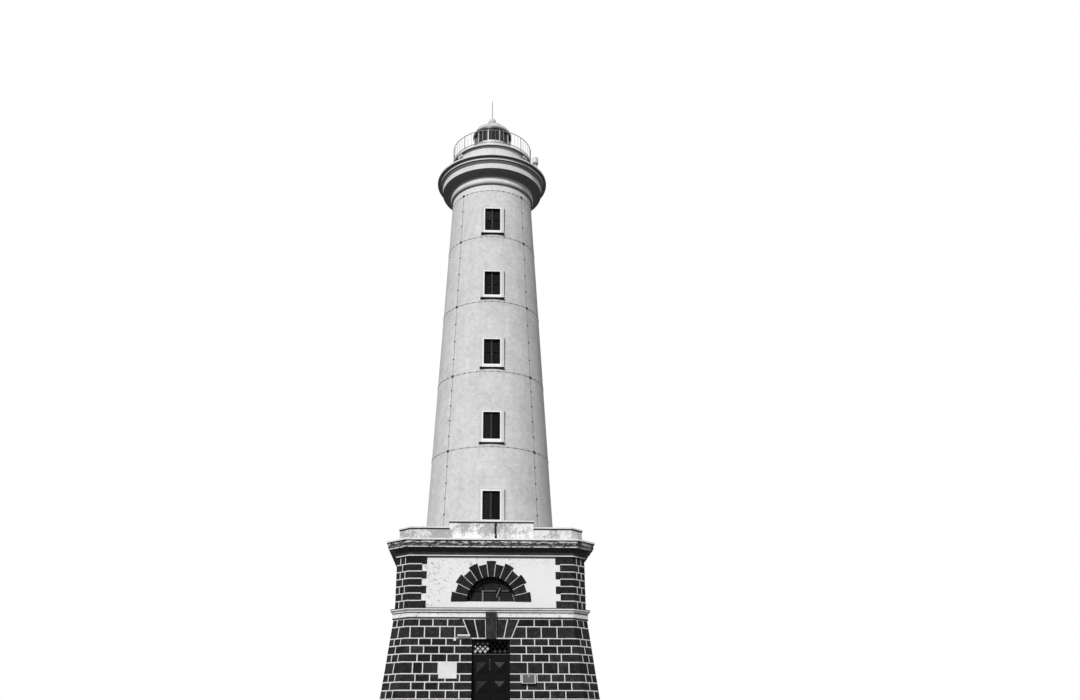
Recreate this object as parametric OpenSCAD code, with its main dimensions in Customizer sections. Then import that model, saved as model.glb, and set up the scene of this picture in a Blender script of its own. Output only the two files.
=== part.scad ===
// Harbour lighthouse: a battered stone base with a plastered upper storey, a terrace behind
// a low attic, a tapered round shaft, a moulded gallery and a glazed lantern.
// Millimetres, +Z up. The origin is the middle of the base on the ground; the door faces -Y.

/* [Lower storey] */
// Width of the base at the ground, over the flat faces
base_w = 7850; // [7400:10:8400]
// Leg of the cut corner at the ground
base_chamfer = 650; // [450:10:850]
// How far the lower wall leans in for each unit of height
wall_batter = 0.12; // [0.06:0.005:0.13]
// Height of the stone storey, up to the string course
lower_h = 4070; // [3900:10:4600]
// Thickness of the ground floor, which is also the height of the threshold
ground_floor_t = 180; // [120:10:240]

/* [Doorway] */
// Width of the doorway between its stone jambs
door_w = 1320; // [1200:10:1500]
// Height of the flat arch between the doorway and the string course
arch_h = 690; // [560:10:860]
// Height of the transom over the door leaves
transom_h = 540; // [480:10:700]
// Gap under the leaves
leaf_gap = 20; // [10:1:40]
// Thickness of a door leaf
leaf_t = 50; // [40:1:70]
// Clearance round each leaf
leaf_clear = 5; // [5:1:8]
// Distance from the wall's face, at the arch, to the door frame
frame_inset = 100; // [60:5:200]
// Width of the door frame's jambs and head
frame_w = 50; // [40:1:80]
// Width of the frame's stop in front of the leaves
stop_w = 25; // [15:1:40]
// Depth of that stop
stop_d = 15; // [10:1:25]
// Rows of raised panels on each leaf
panel_rows = 4; // [3:1:5]
// Width of a leaf's stiles beside the panels
stile_w = 92; // [70:1:120]
// Height of the rails between the panels
rail_h = 185; // [120:5:220]
// Depth of the sunk field round each raised panel
panel_sink = 12; // [6:1:18]
// Height of each panel's diamond point
diamond_h = 34; // [10:1:45]
// Radius of the hinge knuckles
knuckle_r = 9; // [7:0.5:12]
// Length of one hinge knuckle
knuckle_h = 60; // [40:5:90]
// Pitch of the lattice over the doors
lattice_pitch = 170; // [120:5:240]
// Width of a lattice bar
lattice_bar = 14; // [8:1:24]
// Depth of the arch stones behind the wall's face
arch_d = 450; // [300:10:500]
// Width of the mortar joints between separate stones
joint_w = 12; // [6:1:20]
// Width of the keystone at the arch's soffit
keystone_w = 350; // [280:5:420]
// How far the keystone's top is wider on each side
keystone_flare = 12; // [0:1:30]
// How far the keystone stands out from the wall
keystone_out = 100; // [60:5:140]
// Width of one arch stone at the soffit
arch_stone_w = 262; // [200:1:320]
// Lean of the joints, for each stone away from the keystone
arch_lean = 140; // [80:5:180]

/* [String course] */
// Height of the flat band at the bottom of the string course
band_h = 210; // [160:5:260]
// Height of the rounded moulding over the band
string_mould_h = 80; // [50:5:110]
// Thickness of the string course's top slab
string_slab_t = 60; // [40:5:90]
// How far the band stands out from the wall below it
band_out = 45; // [25:1:70]
// How far the top slab stands out from the band
string_out = 85; // [50:5:120]
// Depth of the string course's stones in the wall
string_d = 481.6; // [400:0.1:560]

/* [Upper storey] */
// How far the plastered storey stands behind the top of the lower wall
upper_inset = 36.6; // [0:0.1:120]
// Leg of the cut corner of that storey
upper_chamfer = 470; // [380:10:560]
// Height of the plastered storey
upper_h = 1780; // [1760:10:2100]
// Thickness of its walls
upper_wall_t = 1100; // [900:10:1250]
// Courses in each corner pier
quoin_courses = 7; // [5:2:11]
// How much further every other course reaches along the wall
quoin_step = 165; // [100:5:250]
// Depth of that tooth into the wall
quoin_tooth_d = 350; // [200:10:450]
// How far the stone stands out from the plaster
stone_out = 15; // [5:1:40]
// Radius of the half-round windows
lunette_r = 865; // [700:5:900]
// Height of their sills above the string course
lunette_sill = 230; // [180:5:260]
// Outer radius of the long arch stones
lunette_long_r = 1420; // [1300:5:1470]
// Outer radius of the short arch stones
lunette_short_r = 1280; // [1150:5:1290]
// Number of stones in each arch
lunette_stones = 13; // [9:2:15]
// Depth of the arch stones in the wall
lunette_arch_d = 350; // [200:10:450]
// Width and depth of the grooves between the arch stones
groove_w = 16; // [8:1:24]
// Distance from the plaster to the half-round window
lunette_inset = 250; // [150:10:350]
// Width of the half-round window's bars
lunette_bar = 40; // [25:1:60]
// Depth of the half-round window's rim
lunette_frame_d = 50; // [35:1:70]
// Depth of its bars
lunette_bar_d = 30; // [20:1:34]
// Distance of its two posts from the middle
lunette_post_x = 295; // [220:5:360]
// Height of its cross bar above the sill
lunette_cross_h = 370; // [280:5:450]

/* [Cornice and attic] */
// Height of the cornice
cornice_h = 600; // [520:10:700]
// How far the cornice stands out from the storey below
cornice_out = 397; // [300:5:450]
// Depth of the cornice's stones in the wall
cornice_d = 500; // [420:10:620]
// Height of the attic's low walls above the terrace
attic_h = 445; // [350:5:600]
// Thickness of the attic walls
attic_t = 350; // [250:10:450]
// How far the attic stands behind the face of the storey below
attic_inset = 45; // [20:5:90]
// Length of the raised block in the middle of each attic wall
attic_block_w = 3040; // [2600:10:3400]
// How much higher that block is
attic_block_rise = 235; // [150:5:320]
// Thickness of the copings
coping_t = 50; // [35:1:80]
// How far the copings overhang
coping_out = 30; // [15:1:50]
// Width of the crack in the front block at its foot
crack_w = 75; // [20:1:120]
// Distance of the crack from the block's middle
crack_x = 150; // [0:10:400]
// How deep the crack goes into the block
crack_d = 120; // [60:10:200]

/* [Shaft] */
// Radius of the shaft at the terrace
shaft_r = 2585; // [2450:5:2700]
// How much the radius shrinks for each unit of height
shaft_taper = 0.0476; // [0.04:0.0004:0.05]
// Radius of the stair well inside the shaft
well_r = 1300; // [1150:10:1350]
// Height of the short first lift above the terrace
first_lift_h = 617; // [560:1:700]
// Height of one lift of the shaft
lift_h = 3213; // [3050:1:3350]
// Height of the last lift under the gallery
last_lift_h = 2430; // [2300:10:2700]
// Width of the conductor tapes on the shaft
tape_w = 30; // [20:1:45]
// Thickness of the conductor tapes
tape_t = 5; // [3:0.5:8]

/* [Shaft windows] */
// Width of the shaft's windows
window_w = 670; // [560:10:740]
// Height of the shaft's windows
window_h = 1100; // [900:10:1250]
// Height of a window's opening above the joint below it
window_rise = 320; // [290:5:400]
// Width of the flat surround beside the opening
surround_w = 165; // [120:5:190]
// Height of the surround over the opening
surround_head = 100; // [60:5:150]
// Height of the surround's bottom rail
surround_foot = 90; // [60:5:110]
// How far the surround stands out from the shaft at its foot
surround_out = 20; // [10:1:50]
// Thickness of the window sill
sill_t = 70; // [50:5:90]
// How far the sill stands out from the surround
sill_out = 80; // [50:5:110]
// Distance from the surround's face to the sash
sash_inset = 90; // [60:5:120]
// Width of the sash's frame
sash_w = 50; // [35:1:70]
// Depth of the sash
sash_d = 45; // [35:1:60]
// Thickness of the glass
glass_t = 6; // [4:1:10]

/* [Gallery] */
// Height of the plain neck under the astragal
neck_h = 340; // [250:5:420]
// Height of the astragal
astragal_h = 280; // [220:5:340]
// How far the astragal stands out from the neck
astragal_out = 108; // [70:1:140]
// Height of the deep cove under the gallery
cove_h = 260; // [200:5:320]
// How far the cove throws the gallery out
cove_out = 380; // [300:5:450]
// Height of the gallery's plain band
gallery_band_h = 250; // [200:5:300]
// Height of the small mouldings over the band
crown_mould_h = 270; // [220:5:320]
// How far those mouldings stand out from the band
crown_mould_out = 120; // [80:5:160]
// Radius of the gallery slab
gallery_r = 2550; // [2480:5:2650]
// Thickness of the gallery slab
gallery_slab_t = 70; // [50:5:110]

/* [Lantern] */
// Radius of the drum under the lantern
drum_r = 1750; // [1650:5:1790]
// Thickness of the drum's wall
drum_t = 300; // [220:10:350]
// Height of the drum
drum_h = 960; // [850:10:1100]
// Radius of the upper slab
upper_slab_r = 1890; // [1860:5:1990]
// Thickness of the upper slab
upper_slab_t = 70; // [50:5:100]
// Turn of the corbel groups under the upper slab, from the front
bracket_turn = 56; // [40:1:70]
// Angle between two corbels of a group
bracket_step = 3.6; // [3:0.1:5]
// Width of a corbel
bracket_w = 60; // [40:5:80]
// Height of a corbel
bracket_h = 150; // [100:10:200]
// How far a corbel stands out of the drum
bracket_out = 100; // [60:5:105]
// Distance from the railing to the slab's edge
rail_edge = 45; // [30:5:70]
// Height of the railing
rail_top_h = 780; // [650:10:950]
// Thickness of the rails and posts
rail_bar = 24; // [16:1:36]
// Number of railing posts
rail_posts = 12; // [8:1:16]
// Radius of the lantern
lantern_r = 885; // [840:5:1000]
// Thickness of the lantern's low wall
lantern_wall_t = 110; // [80:5:150]
// Height of that wall
lantern_wall_h = 900; // [800:10:1000]
// Height of the glazing
glazing_h = 700; // [600:10:800]
// Number of panes round the lantern
panes = 10; // [8:1:12]
// Turn of the ring of panes from the front to the right
pane_turn = 22; // [0:1:36]
// Width of the glazing bars
glazing_bar = 42; // [30:1:60]
// How far the roof's eave stands out from the glazing
eave_out = 40; // [20:5:100]
// Height of the eave's rim
eave_h = 100; // [70:5:140]
// Rise of the dome
dome_rise = 640; // [520:10:720]
// Thickness of the dome's shell
dome_t = 30; // [20:1:50]
// Radius of the ventilator's cap
vent_r = 180; // [140:5:220]
// Height of the ventilator's neck above the dome
vent_neck_h = 270; // [200:5:330]
// Length of the lightning rod above the ventilator
rod_l = 1060; // [800:10:1300]
// Radius of the lightning rod
rod_r = 14; // [10:1:20]
// Radius of the lens
lens_r = 300; // [240:5:360]
// Height of the lens
lens_h = 620; // [500:10:660]

/* [Fittings] */
// Width of the blank board beside the door
board_w = 620; // [500:10:740]
// Height of the board
board_h = 540; // [420:10:640]
// Thickness of the board
board_t = 22; // [12:1:30]
// Distance of the board's middle from the door's middle
board_x = 1470; // [1300:10:1600]
// Height of the board's foot above the ground
board_z = 2080; // [1800:10:2300]
// Width of the meter box
meter_w = 470; // [400:10:560]
// Height of the meter box
meter_h = 300; // [240:10:400]
// Depth of the meter box
meter_d = 130; // [90:5:180]
// Thickness of the meter box's door
meter_door_t = 20; // [10:1:30]
// Edge round the door, and how far the cap stands out
meter_edge = 12; // [8:1:20]
// Distance of the box's middle from the door's middle
meter_x = 1275; // [1150:10:1500]
// Height of the box's foot above the ground
meter_z = 1900; // [1600:10:2300]
// Length of the wall lamp
lamp_l = 430; // [350:10:520]
// Height of the wall lamp's shade
lamp_h = 80; // [60:5:120]
// Depth of its shade
lamp_d = 130; // [90:5:180]
// Width of its foot on the wall
lamp_foot = 70; // [50:5:90]
// Distance of the wall lamp's middle from the door's middle
lamp_x = 940; // [920:10:1150]
// Height of the wall lamp's foot above the doorway
lamp_rise = 20; // [0:5:120]
// Direction of the gallery lamp, turned from the front to the right
gallery_lamp_turn = 53; // [0:1:180]
// Radius of the gallery lamp
gallery_lamp_r = 125; // [90:5:160]
// Height of the gallery lamp
gallery_lamp_h = 590; // [480:10:700]
// How far the lamp overhangs the gallery's edge
gallery_lamp_out = 20; // [0:5:40]

/* [Hidden] */
$fn = 64;

// A length that reaches past the whole building, for cutting tools
far = 12000;
// Thin bed between pieces that are set against each other
bed_gap = 0.3;
// Turns of the four sides: front, right, back, left
SIDES = [0, 90, 180, 270];

// Levels above the ground
door_h = lower_h - arch_h;
leaf_top = door_h - transom_h;
string_h = band_h + string_mould_h + string_slab_t;
upper_z = lower_h + string_h;
cornice_z = upper_z + upper_h;
terrace_z = cornice_z + cornice_h;
joint_0_z = terrace_z + first_lift_h;
lifts = 4;
last_joint_z = joint_0_z + lifts * lift_h;
neck_z = last_joint_z + last_lift_h;
gallery_z = neck_z + neck_h + astragal_h + cove_h + gallery_band_h + crown_mould_h;
drum_z = gallery_z + gallery_slab_t;
upper_slab_z = drum_z + drum_h;
lantern_z = upper_slab_z + upper_slab_t;
glazing_z = lantern_z + lantern_wall_h;
roof_z = glazing_z + glazing_h;
dome_z = roof_z + eave_h;
vent_z = dome_z + dome_rise + vent_neck_h;

// Half widths of the base
upper_half = lower_half(lower_h) - upper_inset;
room_half = upper_half - upper_wall_t;
string_half = lower_half(lower_h) + band_out;
string_back = string_half - string_d;
cornice_back = upper_half - cornice_d;
attic_half = upper_half - attic_inset;

// Half width and cut corner of the lower storey at a height
function lower_half(z) = base_w / 2 - wall_batter * z;
function lower_chamfer(z) = base_chamfer * lower_half(z) / lower_half(0);
// Angle of the lower wall's lean
lean = atan(wall_batter);
// The cut corner of an outline set out by a distance, so that all its faces move alike
function set_out(chamfer, out) = chamfer + (2 - sqrt(2)) * out;
// Radius of the shaft at a height
function shaft_at(z) = shaft_r - shaft_taper * (z - terrace_z);

// Outline of a square with cut corners
function outline(half, cut) = [
    [-half, -half + cut], [-half + cut, -half], [half - cut, -half], [half, -half + cut],
    [half, half - cut], [half - cut, half], [-half + cut, half], [-half, half - cut]
];
// One ring of points: a half width, a cut corner and a height
function ring(half, cut, z) = [for (p = outline(half, cut)) [p[0], p[1], z]];

// A solid through rings of points, each given as [half width, cut corner, height]
module loft(rows) {
    n = 8;
    last = len(rows) - 1;
    points = [for (r = rows) each ring(r[0], r[1], r[2])];
    sides = [for (i = [0:last - 1], k = [0:n - 1])
        [i * n + k, (i + 1) * n + k, (i + 1) * n + (k + 1) % n, i * n + (k + 1) % n]];
    foot = [[for (k = [0:n - 1]) k]];
    head = [[for (k = [0:n - 1]) last * n + n - 1 - k]];
    polyhedron(points = points, faces = concat(sides, foot, head));
}

// A moulding round an outline: rows of [distance set out, height above z]
module moulding(half, cut, z, rows) {
    loft([for (r = rows) [half + r[0], set_out(cut, r[0]), z + r[1]]]);
}

// A square block round the middle, for rooms and the backs of rings
module core(half, z, h) {
    translate([-half, -half, z])
        cube([2 * half, 2 * half, h]);
}

// Narrow joints on the corner lines, which part a ring into its four sides
module corner_joints(z, h) {
    for (turn = [45, 135])
        rotate([0, 0, turn])
            translate([-far, -2, z])
                cube([2 * far, 4, h]);
}

// The triangle in front of the middle, up to the corner lines
module front_sector(z, h) {
    translate([0, 0, z])
        linear_extrude(height = h)
            polygon([[0, 0], [-far, -far], [far, -far]]);
}

// Places a shape made for the front on each of the four sides
module on_sides() {
    for (turn = SIDES)
        rotate([0, 0, turn])
            children();
}

// Places a shape made for the front on the front and on the back
module front_and_back() {
    for (turn = [0, 180])
        rotate([0, 0, turn])
            children();
}

// Lays a fitting against the leaning front wall, with its foot at a height
module on_front_wall(x, z) {
    translate([x, -lower_half(z), z])
        rotate([-lean, 0, 0])
            children();
}

// Lower storey

// The whole lower storey as one leaning block
module lower_mass() {
    loft([
        [lower_half(0), lower_chamfer(0), 0],
        [lower_half(lower_h), lower_chamfer(lower_h), lower_h]
    ]);
}

// The part of the lower storey on the front side
module lower_front() {
    difference() {
        intersection() {
            lower_mass();
            front_sector(0, lower_h);
        }
        core(room_half, -1, lower_h + 2);
    }
}

// Plane behind the arch stones
arch_back = lower_half(door_h) - arch_d;

// An upright slice of the doorway's width
module door_slice(z, h) {
    translate([-door_w / 2, -far, z])
        cube([door_w, far, h]);
}

// Outline of one arch stone, seen from the front; side is -1 or 1, index counts from the keystone
module arch_stone_outline(side, index, clear) {
    foot_in = keystone_w / 2 + index * arch_stone_w + clear;
    foot_out = foot_in + arch_stone_w - clear;
    lean_in = keystone_flare + index * arch_lean;
    lean_out = keystone_flare + (index + 1) * arch_lean;
    polygon([
        [side * foot_in, 0], [side * foot_out, 0],
        [side * (foot_out + lean_out), arch_h], [side * (foot_in + lean_in), arch_h]
    ]);
}

// Extrudes an outline from the plane behind the arch out past the wall
module arch_extrude() {
    translate([0, -arch_back, door_h])
        rotate([90, 0, 0])
            linear_extrude(height = far)
                children();
}

module arch_stone(side, index, clear) {
    intersection() {
        lower_mass();
        arch_extrude()
            arch_stone_outline(side, index, clear);
    }
}

// The keystone's block
module keystone_block() {
    key_h = lower_h + band_h - door_h;
    front = lower_half(door_h) + keystone_out;
    half = keystone_w / 2;
    flare = keystone_flare * key_h / arch_h;
    translate([0, -arch_back, door_h])
        rotate([90, 0, 0])
            linear_extrude(height = front - arch_back)
                polygon([[-half, 0], [half, 0], [half + flare, key_h], [-half - flare, key_h]]);
}

// All that the arch takes out of the wall
module arch_seat() {
    foot = keystone_w / 2 + 2 * arch_stone_w;
    head = foot + keystone_flare + 2 * arch_lean;
    arch_extrude()
        polygon([[-foot, 0], [foot, 0], [head, arch_h], [-head, arch_h]]);
    keystone_block();
}

module ground_floor() {
    color("gray")
        core(room_half, 0, ground_floor_t);
}

module door_threshold() {
    color("darkgray")
        intersection() {
            lower_mass();
            translate([-door_w / 2, -far, 0])
                cube([door_w, far - room_half, ground_floor_t]);
        }
}

module front_wall_left() {
    color("dimgray")
        difference() {
            lower_front();
            translate([-door_w / 2, -far, -1])
                cube([far, 2 * far, lower_h + 2]);
            arch_seat();
        }
}

module front_wall_right() {
    color("dimgray")
        difference() {
            lower_front();
            translate([door_w / 2 - far, -far, -1])
                cube([far, 2 * far, lower_h + 2]);
            arch_seat();
        }
}

module front_wall_over_door() {
    color("dimgray")
        difference() {
            intersection() {
                lower_front();
                door_slice(door_h, arch_h);
            }
            arch_seat();
        }
}

module side_wall(turn) {
    color("dimgray")
        rotate([0, 0, turn])
            lower_front();
}

module left_wall() {
    side_wall(270);
}

module right_wall() {
    side_wall(90);
}

module back_wall() {
    side_wall(180);
}

module door_arch() {
    color("slategray")
        for (side = [-1, 1], index = [0, 1])
            arch_stone(side, index, joint_w * index);
}

module door_keystone() {
    color("gray")
        keystone_block();
}

// String course and first floor

string_cut = set_out(lower_chamfer(lower_h), band_out);

module string_course() {
    quarter = [for (a = [0:22.5:90]) [string_out * 0.6 * (1 - cos(a)), band_h + string_mould_h * sin(a)]];
    color("gainsboro")
        difference() {
            moulding(string_half, string_cut, lower_h, concat(
                [[0, 0], [0, band_h]],
                [for (p = quarter) if (p[1] > band_h) [p[0], p[1]]],
                [[string_out, band_h + string_mould_h + 1], [string_out, string_h]]
            ));
            core(string_back, lower_h - 1, string_h + 2);
            corner_joints(lower_h - 1, string_h + 2);
            keystone_block();
        }
}

module first_floor() {
    color("gray")
        difference() {
            core(string_back, lower_h, string_h);
            translate([0, 0, lower_h - 1])
                cylinder(r = well_r, h = string_h + 2);
            keystone_block();
        }
}

// Upper storey

course_h = upper_h / quoin_courses;
lunette_z = upper_z + lunette_sill;
plaster_half = upper_half - stone_out;

// The teeth of the plastered wall between the corner piers, at the front's two ends
module wall_teeth() {
    for (side = [-1, 1], i = [1:2:quoin_courses - 1])
        translate([
            side * (room_half + quoin_step / 2) - quoin_step / 2,
            -far,
            upper_z + i * course_h
        ])
            cube([quoin_step, far - upper_half + quoin_tooth_d, course_h]);
}

// Half-round shape standing on the sill line, running along Y
module half_round(r, y_from, y_to) {
    intersection() {
        translate([0, y_to, lunette_z])
            rotate([90, 0, 0])
                cylinder(r = r, h = y_to - y_from, $fn = 96);
        translate([-far, y_from - 1, lunette_z])
            cube([2 * far, y_to - y_from + 2, far]);
    }
}

// One wedge of an arch, between two angles above the sill line
module arch_wedge(from, to, r, y_from, y_to) {
    intersection() {
        half_round(r, y_from, y_to);
        translate([0, y_to + 1, lunette_z])
            rotate([90, 0, 0])
                linear_extrude(height = y_to - y_from + 2)
                    polygon([
                        [0, 0],
                        [far * cos(from), far * sin(from)],
                        [far * cos(to), far * sin(to)]
                    ]);
    }
}

stone_turn = 180 / lunette_stones;
arch_front = -upper_half;
arch_rear = -upper_half + lunette_arch_d;

// The stepped half ring of long and short stones
module lunette_ring() {
    half_round(lunette_short_r, arch_front, arch_rear);
    for (i = [0:2:lunette_stones - 1])
        arch_wedge(i * stone_turn, (i + 1) * stone_turn, lunette_long_r, arch_front, arch_rear);
}

module upper_wall() {
    difference() {
        union() {
            translate([-room_half, -plaster_half, upper_z])
                cube([2 * room_half, plaster_half - room_half, upper_h]);
            intersection() {
                wall_teeth();
                core(plaster_half, upper_z, upper_h);
            }
        }
        half_round(lunette_r, -far, -room_half + 1);
        lunette_ring();
    }
}

module front_upper_wall() {
    color("whitesmoke")
        upper_wall();
}

module right_upper_wall() {
    color("whitesmoke")
        rotate([0, 0, 90])
            upper_wall();
}

module back_upper_wall() {
    color("whitesmoke")
        rotate([0, 0, 180])
            upper_wall();
}

module left_upper_wall() {
    color("whitesmoke")
        rotate([0, 0, 270])
            upper_wall();
}

module corner_quoins() {
    pier = upper_half - room_half;
    color("dimgray")
        on_sides()
            difference() {
                translate([-upper_half, -upper_half, upper_z])
                    cube([pier, pier, upper_h]);
                difference() {
                    translate([-far, -far, upper_z - 1])
                        cube([far, far, upper_h + 2]);
                    loft([[upper_half, upper_chamfer, upper_z - 2], [upper_half, upper_chamfer, cornice_z + 2]]);
                }
                wall_teeth();
                rotate([0, 0, -90])
                    wall_teeth();
            }
}

module lunette_arches() {
    color("slategray")
        on_sides()
            difference() {
                lunette_ring();
                half_round(lunette_r, -far, 0);
                for (i = [1:lunette_stones - 1])
                    translate([0, arch_front, lunette_z])
                        rotate([0, -i * stone_turn, 0])
                            translate([lunette_r - 1, -1, -groove_w / 2])
                                cube([lunette_long_r, groove_w + 1, groove_w]);
            }
}

lunette_pane_y = -plaster_half + lunette_inset;

// Outline of the half-round window's opening, seen from the front, with a rim left round it
module lunette_outline(rim) {
    intersection() {
        circle(r = lunette_r - rim, $fn = 96);
        translate([-lunette_r, rim])
            square([2 * lunette_r, lunette_r]);
    }
}

// A plate cut to an outline of the half-round window, at a distance behind its face
module lunette_plate(behind, depth) {
    translate([0, lunette_pane_y + behind + depth, lunette_z])
        rotate([90, 0, 0])
            linear_extrude(height = depth)
                children();
}

module lunette_frames() {
    color("darkslategray")
        on_sides()
            union() {
                lunette_plate(0, lunette_frame_d)
                    difference() {
                        lunette_outline(0);
                        lunette_outline(lunette_bar);
                    }
                lunette_plate(0, lunette_bar_d)
                    intersection() {
                        lunette_outline(lunette_bar / 2);
                        union() {
                            for (x = [-lunette_post_x, lunette_post_x])
                                translate([x - lunette_bar / 2, 0])
                                    square([lunette_bar, lunette_r]);
                            translate([-lunette_r, lunette_cross_h])
                                square([2 * lunette_r, lunette_bar]);
                        }
                    }
            }
}

module lunette_glass() {
    color("lightsteelblue", 0.4)
        on_sides()
            lunette_plate(lunette_bar_d, glass_t)
                lunette_outline(lunette_bar);
}

// Cornice, terrace and attic

// Rows of the cornice's profile: fillet, cove, small fillet, corona and top slab
fillet_h = 60;
cove_rows = [for (a = [0:18:90])
    [cornice_out * (0.12 + 0.53 * (1 - cos(a))), fillet_h + (cornice_h * 0.4) * sin(a)]];
corona_z = fillet_h + cornice_h * 0.4;
cornice_rows = concat(
    [[cornice_out * 0.12, 0]],
    cove_rows,
    [
        [cornice_out * 0.74, corona_z + 1], [cornice_out * 0.74, corona_z + fillet_h],
        [cornice_out * 0.86, corona_z + fillet_h + 1], [cornice_out * 0.86, cornice_h - fillet_h],
        [cornice_out, cornice_h - fillet_h + 1], [cornice_out, cornice_h]
    ]
);

module base_cornice() {
    color("silver")
        difference() {
            moulding(upper_half, upper_chamfer, cornice_z, cornice_rows);
            core(cornice_back, cornice_z - 1, cornice_h + 2);
            corner_joints(cornice_z - 1, cornice_h + 2);
        }
}

module terrace() {
    color("gray")
        difference() {
            core(cornice_back, cornice_z, cornice_h);
            translate([0, 0, cornice_z - 1])
                cylinder(r = well_r, h = cornice_h + 2);
        }
}

attic_cut = set_out(upper_chamfer, -attic_inset);
attic_top = terrace_z + attic_h;

// The attic's ring as far as its low top
module attic_ring(out, z, h) {
    difference() {
        moulding(attic_half, attic_cut, z, [[out, 0], [out, h]]);
        moulding(attic_half, attic_cut, z, [[-attic_t - out, -1], [-attic_t - out, h + 1]]);
    }
}

// A block in the middle of the front attic wall
module attic_block(out, z, h) {
    translate([-attic_block_w / 2 - out, -attic_half - stone_out - out, z])
        cube([attic_block_w + 2 * out, attic_t + stone_out + 2 * out, h]);
}

// The crack in the front block, widening towards its foot
module attic_crack() {
    top = attic_h + attic_block_rise;
    translate([crack_x, -attic_half + crack_d, terrace_z])
        rotate([90, 0, 0])
            linear_extrude(height = far)
                polygon([
                    [-crack_w * 0.5, -1], [crack_w * 0.5, -1], [crack_w * 0.35, top * 0.3],
                    [crack_w * 0.5, top * 0.45], [crack_w * 0.3, top * 0.7], [crack_w * 0.4, top + 1],
                    [0, top + 1], [-crack_w * 0.1, top * 0.7], [0, top * 0.45],
                    [-crack_w * 0.25, top * 0.3]
                ]);
}

module attic_parapet() {
    color("lightgray")
        difference() {
            union() {
                attic_ring(0, terrace_z, attic_h);
                on_sides()
                    attic_block(0, terrace_z, attic_h + attic_block_rise);
            }
            corner_joints(terrace_z - 1, attic_h + 2);
            attic_crack();
        }
}

// The gap in the low coping where the front block stands
module coping_gap() {
    translate([-attic_block_w / 2, -attic_half - 4 * coping_out, attic_top - 1])
        cube([attic_block_w, attic_t + 8 * coping_out, coping_t + 2]);
}

module attic_coping() {
    color("gainsboro") {
        difference() {
            attic_ring(coping_out, attic_top, coping_t);
            on_sides()
                coping_gap();
        }
        on_sides()
            attic_block(coping_out, attic_top + attic_block_rise, coping_t);
    }
}

// Shaft

// Height of the foot of a window's opening; index 0 is the lowest
function window_z(index) = joint_0_z + index * lift_h + window_rise;
// Plane of a surround's face, and the plane that its back is let in to
function surround_face(index) = round(shaft_at(window_z(index)) + surround_out);
surround_half = window_w / 2 + surround_w;
// The seat reaches behind the shaft's face at the surround's top corners
seat_d = 15;
function seat_face(index) = floor(
    sqrt(pow(shaft_at(window_z(index) + window_h + surround_head), 2) - pow(surround_half, 2)) - seat_d
);

// The room that a surround and its sill take in the shaft
module surround_seat(index) {
    foot = window_z(index) - surround_foot - sill_t;
    translate([-surround_half, -far, foot])
        cube([2 * surround_half, far - seat_face(index), surround_foot + sill_t + window_h + surround_head]);
}

// The opening through the wall
module window_void(index) {
    translate([-window_w / 2, -far, window_z(index)])
        cube([window_w, far - well_r * 0.8, window_h]);
}

// One lift of the shaft, with its front and back windows
module shaft_lift(z, h, index) {
    color("gainsboro")
        difference() {
            translate([0, 0, z])
                cylinder(r1 = shaft_at(z), r2 = shaft_at(z + h), h = h, $fn = 128);
            translate([0, 0, z - 1])
                cylinder(r = well_r, h = h + 2);
            front_and_back() {
                window_void(index);
                surround_seat(index);
            }
        }
}

module shaft_lift_1() {
    shaft_lift(terrace_z, first_lift_h + lift_h, 0);
}

module shaft_lift_2() {
    shaft_lift(joint_0_z + lift_h, lift_h, 1);
}

module shaft_lift_3() {
    shaft_lift(joint_0_z + 2 * lift_h, lift_h, 2);
}

module shaft_lift_4() {
    shaft_lift(joint_0_z + 3 * lift_h, lift_h, 3);
}

module shaft_lift_5() {
    shaft_lift(last_joint_z, last_lift_h, 4);
}

// A flat surround with its projecting sill
module surround(index) {
    face = surround_face(index);
    seat = seat_face(index);
    foot = window_z(index) - surround_foot;
    difference() {
        translate([-surround_half, -face, foot])
            cube([2 * surround_half, face - seat, surround_foot + window_h + surround_head]);
        window_void(index);
    }
    translate([-surround_half, -face - sill_out, foot - sill_t])
        cube([2 * surround_half, face + sill_out - seat, sill_t]);
}

module window_surrounds() {
    color("white")
        front_and_back()
            for (index = [0:lifts])
                surround(index);
}

// The outer frame of a sash with its middle post
module sash(index) {
    y = -surround_face(index) + sash_inset;
    z = window_z(index);
    inner_w = window_w / 2 - 1.5 * sash_w;
    difference() {
        translate([-window_w / 2, y, z])
            cube([window_w, sash_d, window_h]);
        for (side = [-1, 1])
            translate([side * (window_w / 4 - sash_w / 4) - inner_w / 2, y - 1, z + sash_w])
                cube([inner_w, sash_d + 2, window_h - 2 * sash_w]);
    }
}

// A shutter: the frame with a board behind its slats
module shutter(index) {
    y = -surround_face(index) + sash_inset;
    sash(index);
    translate([-window_w / 2 + sash_w / 2, y + sash_d - 12, window_z(index) + sash_w / 2])
        cube([window_w - sash_w, 12, window_h - sash_w]);
}

// A casement: the frame with a cross bar in each leaf
module casement(index) {
    y = -surround_face(index) + sash_inset;
    sash(index);
    translate([-window_w / 2 + sash_w / 2, y + 6, window_z(index) + window_h * 0.5])
        cube([window_w - sash_w, sash_d - 24, sash_w * 0.7]);
}

module window_shutters() {
    color("dimgray")
        front_and_back()
            for (index = [0, 1])
                shutter(index);
}

module window_casements() {
    color("dimgray")
        front_and_back()
            for (index = [2:lifts])
                casement(index);
}

module window_glass() {
    color("lightsteelblue", 0.4)
        front_and_back()
            for (index = [2:lifts])
                translate([
                    -window_w / 2 + sash_w / 2,
                    -surround_face(index) + sash_inset + sash_d,
                    window_z(index) + sash_w / 2
                ])
                    cube([window_w - sash_w, glass_t, window_h - sash_w]);
}

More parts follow.
